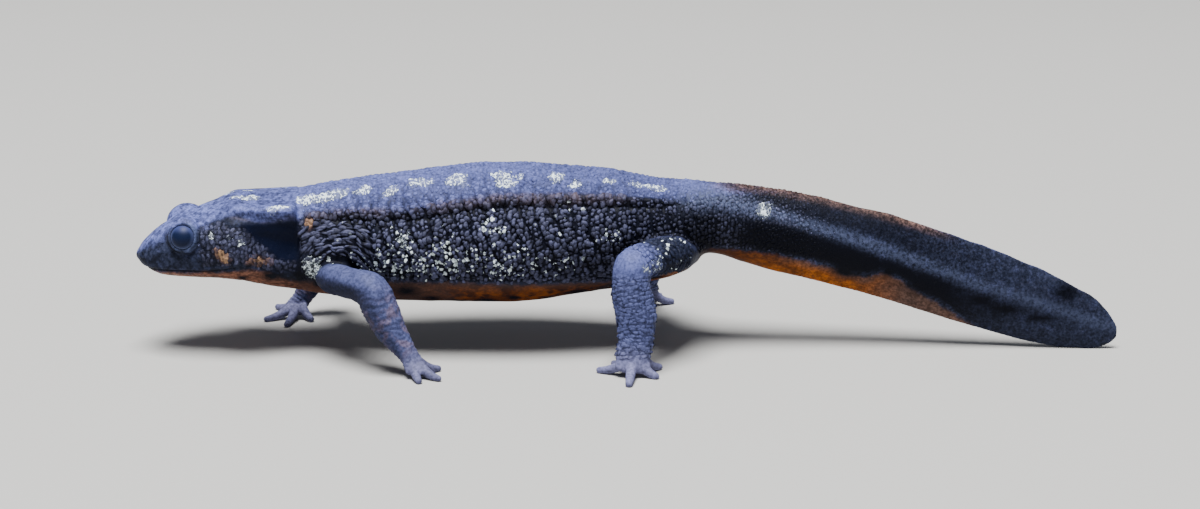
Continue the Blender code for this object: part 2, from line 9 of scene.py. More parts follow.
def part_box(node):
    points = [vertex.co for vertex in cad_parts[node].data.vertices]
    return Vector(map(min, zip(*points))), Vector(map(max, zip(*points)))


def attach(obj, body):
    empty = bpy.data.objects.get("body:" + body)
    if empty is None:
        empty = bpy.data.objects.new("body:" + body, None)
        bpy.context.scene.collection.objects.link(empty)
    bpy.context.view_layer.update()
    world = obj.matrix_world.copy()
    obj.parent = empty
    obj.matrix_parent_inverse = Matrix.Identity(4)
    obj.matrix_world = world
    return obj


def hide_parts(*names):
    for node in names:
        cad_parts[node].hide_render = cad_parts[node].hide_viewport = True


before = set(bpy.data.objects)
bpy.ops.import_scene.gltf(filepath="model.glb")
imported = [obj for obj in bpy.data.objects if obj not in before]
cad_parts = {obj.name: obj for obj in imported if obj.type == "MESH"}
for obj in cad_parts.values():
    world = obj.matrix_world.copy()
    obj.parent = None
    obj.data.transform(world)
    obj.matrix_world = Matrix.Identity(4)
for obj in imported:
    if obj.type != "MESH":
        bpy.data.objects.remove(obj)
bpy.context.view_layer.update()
print("frame loaded:", len(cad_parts), "nodes")

# Lengths are in millimetres in the animal's own frame: snout towards -X, left side towards -Y,
# floor at z 0. They become metres in the frame where a mesh is made.
mm = 0.001

bodySet = {
    # x, top, bottom, height of the widest line, half width
    "outline": [
        (-65.1, 15.15, 13.3, 14.15, 1.9),
        (-63.9, 16.15, 12.55, 14.1, 2.75),
        (-61.6, 18.05, 11.35, 14.2, 4.2),
        (-57.8, 19.9, 10.95, 15.0, 5.5),
        (-54.3, 21.15, 10.75, 15.3, 6.7),
        (-51.0, 22.3, 10.35, 15.2, 7.4),
        (-47.0, 22.25, 9.4, 15.1, 7.4),
        (-43.0, 22.7, 8.5, 15.2, 7.1),
        (-39.0, 23.4, 7.65, 15.4, 7.8),
        (-28.0, 24.85, 6.7, 16.0, 9.5),
        (-14.0, 26.15, 6.35, 16.4, 10.2),
        (0.0, 25.45, 8.15, 17.0, 8.6),
        (9.0, 24.0, 9.85, 17.6, 6.7),
        (12.3, 23.8, 11.0, 18.1, 5.8),
        (15.2, 23.75, 13.5, 18.7, 4.7),
        (22.0, 23.3, 11.6, 17.9, 3.5),
        (37.5, 20.1, 7.7, 14.1, 2.6),
        (52.0, 15.6, 3.3, 9.0, 1.8),
        (62.0, 11.7, 0.7, 5.9, 1.25),
        (68.0, 8.6, -0.1, 3.9, 0.9),
        (73.6, 5.6, 0.0, 2.4, 0.6),
    ],
    # x, crown, keel, flank, edge: 1 is round, below 1 boxy, a flank of 2 thins out to a fin
    "character": [
        (-65.1, 0.9, 0.9, 0.9, 0.0),
        (-58.0, 0.75, 0.7, 0.85, 0.0),
        (-47.0, 0.8, 0.8, 0.85, 0.0),
        (-39.0, 1.0, 0.95, 1.0, 0.0),
        (5.0, 1.0, 0.95, 1.0, 0.0),
        (15.2, 1.0, 1.0, 1.1, 0.1),
        (24.0, 1.0, 1.0, 1.7, 0.3),
        (40.0, 1.0, 1.0, 2.0, 0.33),
        (73.6, 1.0, 1.0, 1.6, 0.3),
    ],
    # x, y: the spine's sideways sway
    "sway": [
        (-65.8, -3.4),
        (-58.0, -2.05),
        (-50.0, -0.8),
        (-42.0, 0.0),
        (-30.0, 0.7),
        (-16.0, 1.1),
        (8.0, 0.3),
        (24.0, -0.1),
        (50.0, -1.0),
        (74.5, -2.4),
    ],
    "snout": dict(x=-65.1, height=14.15, rounding=1.4),
    "tailTip": dict(x=73.6, height=2.3, rounding=4.5),
    # angle = degrees from the top at even steps along it, spread above and below, rise at both ends
    "forms": {
        "vertebral ridge": dict(
            along=(-54, 18), blend=(6, 6), angle=(0, 0), spread=(7, 7), rise=(0.2, 0.4)
        ),
        "dorsolateral ridge": dict(
            along=(-40, 12), blend=(5, 5), angle=(49, 54.5, 48, 47.5, 46), spread=(7, 5), rise=(0.6, 0.6)
        ),
        "parotoid shelf": dict(
            along=(-54, -42.3), blend=(3, 0.6), angle=(36, 54), spread=(14, 5), rise=(0.2, 2.1)
        ),
        "hollow under the shelf": dict(
            along=(-52, -41.6), blend=(5, 1.2), angle=(72, 82), spread=(12, 22), rise=(-0.6, -1.4)
        ),
        "jaw muscle": dict(
            along=(-56, -47.5), blend=(3, 3), angle=(92, 92), spread=(22, 22), rise=(0.7, 0.7)
        ),
        "snout's edge": dict(
            along=(-64, -57), blend=(2, 2), angle=(50, 44), spread=(12, 10), rise=(0.15, 0.3)
        ),
    },
    "columns": 90,
    "edgePower": 0.3,
    "edgeMost": 0.5,
    "least": 0.4,
    "slopeStep": 0.05,
    "seam": 0.01,
    # rings stand closer together before the head's end and after the tip's start
    "ringStep": 0.4,
    "headEnd": -40.0,
    "headRings": 110,
    "headEase": 1.5,
    "tipStart": 66.0,
    "tipRings": 40,
    "tipEase": 0.85,
    "table": (-66.5, 74.5, 2400),
}

eyeSet = {
    "radius": 2.05,
    "centre": (-58.25, 4.35, 17.35),  # x along the spine, the way out from it, height
    "gaze": (-0.25, 0.93, 0.25),  # forward, outward, up
    "browRadius": 2.97,
    "browInset": 0.95,
    "browShift": (-0.02, 0.0, 0.25),
}


def eased(x, rows, column):
    # a smooth curve through the rows' first and given column, with no overshoot
    xs = np.array([row[0] for row in rows], float)
    ys = np.array([row[column] for row in rows], float)
    steps = np.diff(xs)
    slopes = np.diff(ys) / steps
    tangents = np.zeros(len(xs))
    sameWay = slopes[:-1] * slopes[1:] > 0
    weightA = 2 * steps[1:] + steps[:-1]
    weightB = steps[1:] + 2 * steps[:-1]
    before = np.where(sameWay, slopes[:-1], 1.0)
    after = np.where(sameWay, slopes[1:], 1.0)
    tangents[1:-1] = np.where(sameWay, (weightA + weightB) / (weightA / before + weightB / after), 0.0)
    tangents[0], tangents[-1] = slopes[0], slopes[-1]
    x = np.clip(x, xs[0], xs[-1])
    i = np.clip(np.searchsorted(xs, x) - 1, 0, len(steps) - 1)
    t = (x - xs[i]) / steps[i]
    return (
        (1 + 2 * t) * (1 - t) ** 2 * ys[i]
        + t * (1 - t) ** 2 * steps[i] * tangents[i]
        + t**2 * (3 - 2 * t) * ys[i + 1]
        + t**2 * (t - 1) * steps[i] * tangents[i + 1]
    )


def smoothstep(value):
    value = np.clip(value, 0.0, 1.0)
    return value * value * (3 - 2 * value)


def between(value, low, high, soft):
    # 1 inside the range and 0 outside it, with soft edges this wide
    return smoothstep((value - low) / soft + 0.5) * smoothstep((high - value) / soft + 0.5)


def formHeight(form, x, angle):
    start, end = form["along"]
    share = min(max((x - start) / (end - start), 0.0), 1.0)
    centre = np.interp(share, np.linspace(0, 1, len(form["angle"])), form["angle"])
    rise = form["rise"][0] + share * (form["rise"][1] - form["rise"][0])
    fade = smoothstep((x - start) / form["blend"][0]) * smoothstep((end - x) / form["blend"][1])
    spread = np.where(angle < centre, form["spread"][0], form["spread"][1])
    return rise * fade * np.exp(-(((angle - centre) / spread) ** 2))


def bodyFrame(x):
    # top, bottom, widest height and half width, rounded off at the snout and the tail's tip
    top, bottom, widest, half = (eased(x, bodySet["outline"], column) for column in (1, 2, 3, 4))
    for end in (bodySet["snout"], bodySet["tailTip"]):
        inward = np.minimum(np.abs(x - end["x"]) / end["rounding"], 1.0)
        rounding = np.sqrt(np.maximum(1 - (1 - inward) ** 2, 0.0))
        centre = end["height"]
        top, bottom, widest = (centre + (v - centre) * rounding for v in (top, bottom, widest))
        half = half * rounding
    return top, bottom, widest, half


def spine(x):
    # the spine's y, and the level direction square to it, towards the right
    step = bodySet["slopeStep"]
    slope = (eased(x + step, bodySet["sway"], 1) - eased(x - step, bodySet["sway"], 1)) / (2 * step)
    length = np.sqrt(1.0 + slope**2)
    return eased(x, bodySet["sway"], 1), -slope / length, 1.0 / length


def outFromSpine(x, out, z, side):
    # side 1 is the left, -1 the right
    y, rightX, rightY = (float(v) for v in spine(x))
    return np.array([x - side * out * rightX, y - side * out * rightY, z])


def bodyRing(x, angles):
    top, bottom, widest, half = (float(v) for v in bodyFrame(x))
    crown, keel, flank, edge = (float(eased(x, bodySet["character"], c)) for c in (1, 2, 3, 4))
    radians = np.radians(angles)
    cosine, sine = np.cos(radians), np.abs(np.sin(radians))
    height = np.where(cosine > 0, top - widest, widest - bottom)
    z = widest + np.sign(cosine) * height * np.abs(cosine) ** np.where(cosine > 0, crown, keel)
    edge = min(edge, half * bodySet["edgeMost"])
    out = (half - edge) * sine**flank + edge * sine ** bodySet["edgePower"]
    push = sum(formHeight(form, x, angles) for form in bodySet["forms"].values())
    reach = np.maximum(np.hypot(out, z - widest), 1e-6)
    onPlane = (angles < bodySet["seam"]) | (angles > 180 - bodySet["seam"])
    z, out = z + push * (z - widest) / reach, np.where(onPlane, 0.0, out * (1 + push / reach))
    y, rightX, rightY = (float(v) for v in spine(x))
    left = np.column_stack([x - out * rightX, y - out * rightY, z])
    right = np.column_stack([x + out * rightX, y + out * rightY, z])
    return np.vstack([left, right[-2:0:-1]])


tableX = np.linspace(*bodySet["table"])
tableFrame = bodyFrame(tableX)
tableSpine = spine(tableX)


def bodyPlace(points):
    # where points lie on the body: x along the spine, way out to the right, angle from the top, reach
    x = points[:, 0].copy()
    for _ in range(4):
        y, rightX, rightY = (np.interp(x, tableX, row) for row in tableSpine)
        ahead = (points[:, 0] - x) * rightY - (points[:, 1] - y) * rightX
        x = x + ahead * rightY
    out = (points[:, 0] - x) * rightX + (points[:, 1] - y) * rightY
    top, bottom, widest, half = (np.interp(x, tableX, row) for row in tableFrame)
    rise = points[:, 2] - widest
    height = np.maximum(np.where(rise > 0, top - widest, widest - bottom), bodySet["least"])
    wide = np.maximum(half, bodySet["least"])
    angle = np.degrees(np.arctan2(np.abs(out) / wide, rise / height))
    return x, out, angle, np.hypot(out / wide, rise / height)


def eyeFrame(side):
    # the eye's centre, and its gaze, forward and upward directions
    x, out, z = eyeSet["centre"]
    centre = outFromSpine(x, out, z, side)
    forward, outward, up = eyeSet["gaze"]
    _, rightX, rightY = (float(v) for v in spine(x))
    ahead, across = np.array([rightY, -rightX, 0.0]), np.array([rightX, rightY, 0.0])
    gaze = ahead * forward - across * side * outward + np.array([0.0, 0.0, up])
    gaze /= np.linalg.norm(gaze)
    upward = np.array([0.0, 0.0, 1.0]) - gaze * gaze[2]
    upward /= np.linalg.norm(upward)
    front = np.cross(upward, gaze)
    return centre, gaze, front * np.sign(-front[0]), upward


# The frame's own eyes say how far its origin is from the animal's
eyeBoxes = [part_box(name) for name in ("eye_left", "eye_right")]
packedEyes = np.mean([(np.array(low) + np.array(high)) / 2 for low, high in eyeBoxes], axis=0)
ownEyes = np.mean([eyeFrame(side)[0] for side in (1, -1)], axis=0)
toFrame = packedEyes / mm - ownEyes
print("origin shift in mm:", np.round(toFrame, 3))


def inFrame(points):
    return (np.asarray(points, float) + toFrame) * mm


def rawMesh(name, points, faces):
    mesh = bpy.data.meshes.new(name)
    mesh.from_pydata([tuple(p) for p in points], [], [tuple(f) for f in faces])
    return mesh


def linked(name, mesh):
    obj = bpy.data.objects.new(name, mesh)
    bpy.context.scene.collection.objects.link(obj)
    return obj


def plainMesh(obj, name):
    # the evaluated object's mesh, with nothing left live
    graph = bpy.context.evaluated_depsgraph_get()
    mesh = bpy.data.meshes.new_from_object(obj.evaluated_get(graph))
    mesh.name = name
    return mesh


def addAttribute(mesh, name, values, kind="FLOAT"):
    made = mesh.attributes.new(name, kind, "POINT")
    made.data.foreach_set("value" if kind == "FLOAT" else "vector", np.asarray(values, np.float32).ravel())


def ringFaces(rings, sides):
    # the quads between each ring and the next
    faces = []
    for ring in range(rings - 1):
        for side in range(sides):
            a, b = ring * sides + side, ring * sides + (side + 1) % sides
            faces.append((a, b, b + sides, a + sides))
    return faces


def loft(rings, startTip=None, endTip=None):
    sides = len(rings[0])
    start = np.mean(rings[0], axis=0) if startTip is None else startTip
    end = np.mean(rings[-1], axis=0) if endTip is None else endTip
    points = np.vstack([*rings, start, end])
    first, last = len(points) - 2, len(points) - 1
    faces = ringFaces(len(rings), sides)
    base = (len(rings) - 1) * sides
    for side in range(sides):
        after = (side + 1) % sides
        faces.append((first, after, side))
        faces.append((last, base + side, base + after))
    return points, faces


# Body
def bodyLoft():
    snout, tail = bodySet["snout"]["x"], bodySet["tailTip"]["x"]
    headEnd, tipStart, step = bodySet["headEnd"], bodySet["tipStart"], bodySet["ringStep"]
    shares = np.linspace(0, 1, bodySet["headRings"])[1:] ** bodySet["headEase"]
    turns = np.linspace(0, 1, bodySet["tipRings"])[:-1] * math.pi / 2
    places = [
        *(snout + (headEnd - snout) * shares),
        *np.arange(headEnd + step, tipStart, step),
        *(tipStart + (tail - tipStart) * np.sin(turns) ** bodySet["tipEase"]),
    ]
    angles = np.linspace(0.0, 180.0, bodySet["columns"] + 1)
    tips = [bodySet["snout"], bodySet["tailTip"]]
    ends = [(tip["x"], float(spine(tip["x"])[0]), tip["height"]) for tip in tips]
    return loft([bodyRing(x, angles) for x in places], *ends)


# Limbs: path = x, y, z, width and thickness at each point, wide = the way the width lies,
# digits = each one's root and the place of its tip on the floor
limbSet = {
    "foreLeft": dict(
        wide=(0.83, 0.56, 0.0),
        path=[(-37.6, -3.5, 12.2, 5.4, 5.0), (-36.9, -7.8, 12.0, 4.6, 4.5), (-34.1, -10.5, 11.9, 4.2, 4.3),
              (-31.3, -12.4, 11.4, 4.9, 4.9), (-30.0, -13.1, 9.1, 5.0, 4.5), (-28.7, -13.6, 6.5, 4.5, 3.9),
              (-27.3, -14.2, 4.4, 3.4, 2.9), (-26.0, -14.8, 2.7, 2.9, 2.0), (-25.1, -15.5, 1.2, 3.3, 1.3)],
        digits=[((-26.2, -14.0, 2.1), (-25.6, -11.0)), ((-24.9, -14.6, 1.9), (-22.3, -12.9)),
                ((-24.7, -15.4, 1.6), (-21.9, -17.3)), ((-25.5, -15.6, 1.5), (-24.5, -18.3))],
    ),
    "foreRight": dict(
        wide=(1.0, 0.0, 0.0),
        path=[(-37.8, 3.5, 12.4, 5.4, 5.0), (-38.3, 8.2, 12.2, 4.6, 4.5), (-38.7, 11.6, 11.4, 4.2, 4.2),
              (-39.4, 13.6, 9.9, 4.8, 4.4), (-41.0, 14.1, 7.8, 4.6, 4.0), (-42.5, 14.0, 5.8, 4.0, 3.4),
              (-43.7, 13.9, 4.1, 3.2, 2.7), (-44.7, 13.7, 2.6, 2.9, 2.0), (-45.6, 13.3, 1.2, 3.3, 1.3)],
        digits=[((-44.5, 12.6, 1.9), (-42.9, 10.7)), ((-45.3, 12.5, 1.6), (-46.1, 7.9)),
                ((-45.9, 12.9, 1.5), (-49.5, 10.7)), ((-45.6, 14.1, 1.7), (-48.8, 17.2))],
    ),
    "hindLeft": dict(
        wide=(1.0, 0.0, 0.0),
        path=[(11.0, -1.5, 14.9, 7.4, 6.6), (9.4, -6.2, 15.0, 6.8, 5.8), (6.8, -9.9, 15.2, 5.7, 4.9),
              (4.5, -12.0, 14.8, 5.0, 4.6), (4.15, -12.7, 12.5, 5.3, 4.6), (4.6, -13.2, 9.8, 5.8, 4.3),
              (5.0, -13.7, 7.6, 5.7, 3.8), (4.9, -14.2, 5.4, 5.05, 3.0), (4.6, -14.8, 3.2, 4.9, 2.2),
              (4.4, -15.6, 1.2, 4.7, 1.3)],
        digits=[((3.6, -14.0, 2.1), (1.9, -10.6)), ((3.2, -14.9, 1.6), (-0.1, -13.6)),
                ((4.3, -15.7, 1.4), (3.9, -19.6)), ((5.6, -15.2, 1.7), (7.6, -16.2)),
                ((5.9, -14.2, 2.0), (8.2, -12.1))],
    ),
    "hindRight": dict(
        wide=(1.0, 0.0, 0.0),
        path=[(11.0, 1.5, 14.9, 7.4, 6.6), (9.8, 6.2, 15.0, 6.8, 5.8), (7.7, 10.5, 15.2, 5.7, 4.9),
              (6.0, 13.2, 14.5, 5.0, 4.6), (5.4, 14.6, 12.0, 5.3, 4.6), (5.6, 15.8, 9.2, 5.6, 4.2),
              (6.0, 16.8, 6.8, 5.3, 3.7), (6.3, 17.8, 4.7, 4.9, 2.9), (6.5, 18.8, 2.9, 4.8, 2.2),
              (6.6, 19.9, 1.2, 4.7, 1.3)],
        digits=[((5.3, 18.6, 2.1), (2.5, 17.4)), ((5.4, 19.5, 1.6), (2.2, 21.5)),
                ((6.4, 20.2, 1.4), (5.0, 24.2)), ((7.5, 19.8, 1.6), (9.2, 23.3)),
                ((7.9, 18.9, 2.1), (10.9, 20.1))],
    ),
}
toeSet = {"rootWidth": 1.55, "tipWidth": 0.95, "pull": 0.55, "arch": 0.25, "restHeight": 0.4}
roundSet = {
    # rings and sides
    "limb": (70, 36),
    "toe": (16, 16),
    "ball": (24, 40),
    "eye": (40, 56),
    "axisStep": 0.05,
    "capTurns": (20, 40, 60, 77),
}


def pathPoint(path, place):
    rows = np.array(path, float)
    i = int(min(max(math.floor(place), 0), len(rows) - 2))
    t = place - i
    p0, p1, p2, p3 = rows[max(i - 1, 0)], rows[i], rows[i + 1], rows[min(i + 2, len(rows) - 1)]
    return 0.5 * (
        2 * p1 + (p2 - p0) * t + (2 * p0 - 5 * p1 + 4 * p2 - p3) * t**2 + (3 * p1 - p0 - 3 * p2 + p3) * t**3
    )


def limbRing(path, place, sides, wide):
    row = pathPoint(path, place)
    step = roundSet["axisStep"]
    ahead, behind = pathPoint(path, min(place + step, len(path) - 1)), pathPoint(path, max(place - step, 0.0))
    along = ahead[:3] - behind[:3]
    along = along / np.linalg.norm(along)
    across = wide - along * wide.dot(along)
    across = across / np.linalg.norm(across)
    up = np.cross(along, across)
    turns = np.linspace(0.0, 2 * math.pi, sides, endpoint=False)[:, None]
    return row[:3] + across * np.cos(turns) * row[3] / 2 + up * np.sin(turns) * row[4] / 2


def limbLoft(path, wide, rings, sides):
    wide = np.array(wide, float)
    wide /= np.linalg.norm(wide)
    made = [limbRing(path, place, sides, wide) for place in np.linspace(0.0, len(path) - 1.0, rings)]
    centre = made[-1].mean(axis=0)
    beyond = centre - made[-2].mean(axis=0)
    beyond /= np.linalg.norm(beyond)
    reach = np.linalg.norm(made[-1] - centre, axis=1).min()
    last = made[-1]
    for turn in np.radians(roundSet["capTurns"]):
        made.append(centre + (last - centre) * math.cos(turn) + beyond * reach * math.sin(turn))
    return loft(made, endTip=centre + beyond * reach)


def toePath(root, tip):
    root, tip = np.array(root), np.array((*tip, toeSet["restHeight"]))
    down = root + (tip - root) * toeSet["pull"]
    down[2] = tip[2] + toeSet["arch"] * (root[2] - tip[2])
    wide, slim = toeSet["rootWidth"], toeSet["tipWidth"]
    middle = (wide + slim) / 2
    across = np.cross((0.0, 0.0, 1.0), tip - root)
    return [(*root, wide, wide), (*down, middle, middle), (*tip, slim, slim)], across


def ballMesh(centre, radius, rings, sides):
    places = np.linspace(0, math.pi, rings + 1)[1:-1]
    turns = np.linspace(0, 2 * math.pi, sides, endpoint=False)
    made = []
    for place in places:
        wide = np.sin(place)
        ring = np.column_stack([wide * np.cos(turns), wide * np.sin(turns), np.full(sides, -np.cos(place))])
        made.append(centre + radius * ring)
    return loft(made, centre - (0, 0, radius), centre + (0, 0, radius))


# Skin
skinSet = {
    "voxel": 0.25,
    # space round the head is stretched before the remesh, so that the head's skin is finer
    "lensCentre": (-55.0, -1.5, 15.8),
    "lensInner": 12.5,
    "lensOuter": 22.0,
    "lensGain": 1.75,
    "lensTable": (220.0, 4400),
    "relax": (0.5, 0.53),
    "relaxSteps": (3, 2),
    # creases are filled in steps, each by a share of the way to the neighbours' middle
    "filletSteps": 36,
    "filletShare": 0.7,
    "filletFrom": 0.004,
    "filletOver": 0.02,
    "newNormals": 6,
    "triangles": 186000,
}


def lensTable():
    radius = np.linspace(0.0, *skinSet["lensTable"])
    fade = smoothstep((radius - skinSet["lensInner"]) / (skinSet["lensOuter"] - skinSet["lensInner"]))
    gain = skinSet["lensGain"] + (1 - skinSet["lensGain"]) * fade
    return radius, np.concatenate([[0.0], np.cumsum((gain[1:] + gain[:-1]) / 2 * np.diff(radius))])


def throughLens(points, radii, images):
    centre = np.array(skinSet["lensCentre"])
    away = points - centre
    reach = np.maximum(np.linalg.norm(away, axis=1), 1e-9)
    return centre + away * (np.interp(reach, radii, images) / reach)[:, None]


def remeshed(points, faces, voxel):
    obj = linked("rough skin", rawMesh("rough skin", points, faces))
    remesh = obj.modifiers.new("Remesh", "REMESH")
    remesh.mode = "VOXEL"
    remesh.voxel_size = voxel
    mesh = plainMesh(obj, "remeshed")
    count = len(mesh.vertices)
    found = np.zeros(count * 3)
    mesh.vertices.foreach_get("co", found)
    corners = np.zeros(len(mesh.loops), int)
    mesh.loops.foreach_get("vertex_index", corners)
    bpy.data.objects.remove(obj)
    bpy.data.meshes.remove(mesh)
    return found.reshape(-1, 3), corners.reshape(-1, 4)


class Surface:
    # points and quads with the sums that smoothing needs
    def __init__(self, points, quads):
        self.points, self.quads = points, quads
        sides = np.vstack([quads[:, (a, (a + 1) % 4)] for a in range(4)])
        self.pairs = np.unique(np.sort(sides, axis=1), axis=0)
        self.counts = np.maximum(np.bincount(self.pairs.ravel(), minlength=len(points)), 1)[:, None]

    def pull(self):
        # the way from each point to the mean of its neighbours
        a, b = self.pairs.T
        total = [np.bincount(a, row[b], len(row)) + np.bincount(b, row[a], len(row)) for row in self.points.T]
        return np.column_stack(total) / self.counts - self.points

    def normals(self):
        corners = self.points[self.quads]
        across = np.cross(corners[:, 2] - corners[:, 0], corners[:, 3] - corners[:, 1])
        total = np.zeros_like(self.points)
        for k in range(3):
            for corner in range(4):
                total[:, k] += np.bincount(self.quads[:, corner], across[:, k], len(total))
        return total / np.maximum(np.linalg.norm(total, axis=1), 1e-12)[:, None]

    def relax(self, steps):
        # smoothing that keeps the volume
        for _ in range(steps):
            self.points = self.points + skinSet["relax"][0] * self.pull()
            self.points = self.points - skinSet["relax"][1] * self.pull()

    def fillCreases(self):
        # rounds the inner corners where forms meet and leaves the outer ones
        for step in range(skinSet["filletSteps"]):
            if step % skinSet["newNormals"] == 0:
                normals = self.normals()
            way = self.pull()
            depth = (way * normals).sum(axis=1)
            share = np.clip((depth - skinSet["filletFrom"]) / skinSet["filletOver"], 0, 1)
            self.points = self.points + skinSet["filletShare"] * share[:, None] * way


def roughSkin():
    shells = [bodyLoft()]
    for side in (1, -1):
        centre, gaze, _, _ = eyeFrame(side)
        brow = centre - gaze * eyeSet["browInset"] + np.array(eyeSet["browShift"])
        shells.append(ballMesh(brow, eyeSet["browRadius"], *roundSet["ball"]))
    for limb in limbSet.values():
        shells.append(limbLoft(limb["path"], limb["wide"], *roundSet["limb"]))
        for root, tip in limb["digits"]:
            path, across = toePath(root, tip)
            shells.append(limbLoft(path, across, *roundSet["toe"]))
    points, faces, start = [], [], 0
    for shellPoints, shellFaces in shells:
        points.append(shellPoints)
        faces += [tuple(index + start for index in face) for face in shellFaces]
        start += len(shellPoints)
    return np.vstack(points), faces


points, faces = roughSkin()
radii, images = lensTable()
points, quads = remeshed(throughLens(points, radii, images), faces, skinSet["voxel"])
skin = Surface(throughLens(points, images, radii), quads)
print("skin remeshed:", len(points), "points")
skin.relax(skinSet["relaxSteps"][0])
skin.fillCreases()
skin.relax(skinSet["relaxSteps"][1])
print("skin joins rounded")


noiseSet = {
    "primes": (73856093, 19349663, 83492791),
    "seedPrime": 2654435761,
    "mixer": 1274126177,
    "offset": 1000.0,
}


def noise(points, size, seed):
    # smooth noise from -1 to 1 with lumps about this size, the same each run
    cell = points / size + noiseSet["offset"]
    low = np.floor(cell).astype(np.int64)
    part = smoothstep(cell - low)
    total = np.zeros(len(points))
    for corner in range(8):
        step = np.array([corner & 1, corner >> 1 & 1, corner >> 2 & 1])
        key = np.bitwise_xor.reduce((low + step) * noiseSet["primes"], axis=1)
        key = key ^ (seed * noiseSet["seedPrime"])
        key = (key ^ (key >> 13)) * noiseSet["mixer"] % 2**32
        share = np.prod(np.where(step == 1, part, 1 - part), axis=1)
        total += share * ((key >> 8) % 65536 / 32767.5 - 1)
    return total


placeSet = {
    "limbSamples": 90,
    "digitSamples": 14,
    "digitShare": 0.25,  # how much further than the limb's own 1 a digit's tip counts
    # limbs are looked for this near to them, in blocks of this many points
    "margin": 6,
    "block": 4000,
    "far": 99.0,
    "limbFrom": 1.04,
    "limbOver": 0.22,
    "limbReach": 2.0,
}


def limbSamples():
    # places along every limb and digit: centre, radius, share of the length, which limb, digit or not
    rows = []
    for number, limb in enumerate(limbSet.values()):
        paths = [(limb["path"], 0)] + [(toePath(root, tip)[0], 1) for root, tip in limb["digits"]]
        for path, isDigit in paths:
            samples = placeSet["digitSamples" if isDigit else "limbSamples"]
            places = np.linspace(0.0, len(path) - 1.0, samples)
            for place in places:
                x, y, z, width, thickness = pathPoint(path, place)
                share = 1.0 + placeSet["digitShare"] * place / 2 if isDigit else place / (len(path) - 1.0)
                rows.append([x, y, z, (width + thickness) / 4, share, number, isDigit])
    return np.array(rows)


limbRows = limbSamples()


def limbPlace(points):
    # the nearest place on a limb: distance in its radii, and the row of limbRows
    ratio = np.full(len(points), placeSet["far"])
    nearest = np.zeros(len(points), int)
    low = limbRows[:, :3].min(axis=0) - placeSet["margin"]
    high = limbRows[:, :3].max(axis=0) + placeSet["margin"]
    near = np.flatnonzero(((points > low) & (points < high)).all(axis=1))
    for part in np.array_split(near, max(len(near) // placeSet["block"], 1)):
        away = np.linalg.norm(points[part][:, None] - limbRows[None, :, :3], axis=2) / limbRows[:, 3]
        nearest[part] = away.argmin(axis=1)
        ratio[part] = away.min(axis=1)
    return ratio, nearest


def bodyAndLimb(points):
    # x along the spine, way out, angle, reach, limb share, share of its length, which limb, digit or not.
    # Limbs 0 and 1 are the arms, 2 and 3 the legs, and 2 is the left leg.
    x, out, angle, reach = bodyPlace(points)
    ratio, nearest = limbPlace(points)
    share, number, digit = limbRows[nearest, 4:].T
    limb = smoothstep((reach - placeSet["limbFrom"]) / placeSet["limbOver"]) * (ratio < placeSet["limbReach"])
    return x, out, angle, reach, limb, share, number.astype(int), digit


lidSet = {
    "opening": 1.72,
    "upper": dict(width=0.28, proud=0.16),
    "lower": dict(width=0.44, proud=0.13),
    "wall": 0.18,
    "edge": 0.1,
    "groove": dict(depth=0.2, out=0.15, width=0.28),
    "sink": 0.5,
    "reach": 4.2,
    # how low and how far back on the ring a place is: level and slope
    "low": (0.5, 0.7),
    "behind": (0.4, 0.8),
    "leastRadius": 0.2,
    "shaped": dict(depth=-0.6, reach=4.4),
    "marked": dict(depth=-0.8, reach=4.0),
}


def lidPlace(points, side, area):
    # the way along the gaze, forward, up and out from the eye's axis, and what is near
    centre, gaze, front, upward = eyeFrame(side)
    local = points - centre
    g, f, u = local @ gaze, local @ front, local @ upward
    near = (np.linalg.norm(local, axis=1) < area["reach"]) & (g > area["depth"])
    return g, f, u, np.hypot(f, u), near


def onRing(key, way, r):
    level, slope = lidSet[key]
    return smoothstep(level - slope * way / np.maximum(r, lidSet["leastRadius"]))


def shapeLids(points):
    points = points.copy()
    for side in (1, -1):
        g, _, u, r, near = lidPlace(points, side, lidSet["shaped"])
        near = near & (r < lidSet["reach"])
        low = onRing("low", u, r)
        upper, lower = lidSet["upper"], lidSet["lower"]
        width, proud = (upper[key] * (1 - low) + lower[key] * low for key in ("width", "proud"))
        radius, opening, groove = eyeSet["radius"], lidSet["opening"], lidSet["groove"]
        inside = np.sqrt(np.maximum(radius**2 - r**2, 0.0)) - lidSet["sink"]
        crest = math.sqrt(radius**2 - opening**2) + proud
        wall = smoothstep((r - opening + lidSet["wall"]) / lidSet["wall"])
        down = smoothstep((r - opening - lidSet["edge"]) / width)
        foot = g - groove["depth"] * np.exp(-(((r - opening - groove["out"] - width) / groove["width"]) ** 2))
        shaped = np.where(r < opening, inside + (crest - inside) * wall, crest + (foot - crest) * down)
        points[near] += ((shaped - g)[:, None] * eyeFrame(side)[1])[near]
    return points


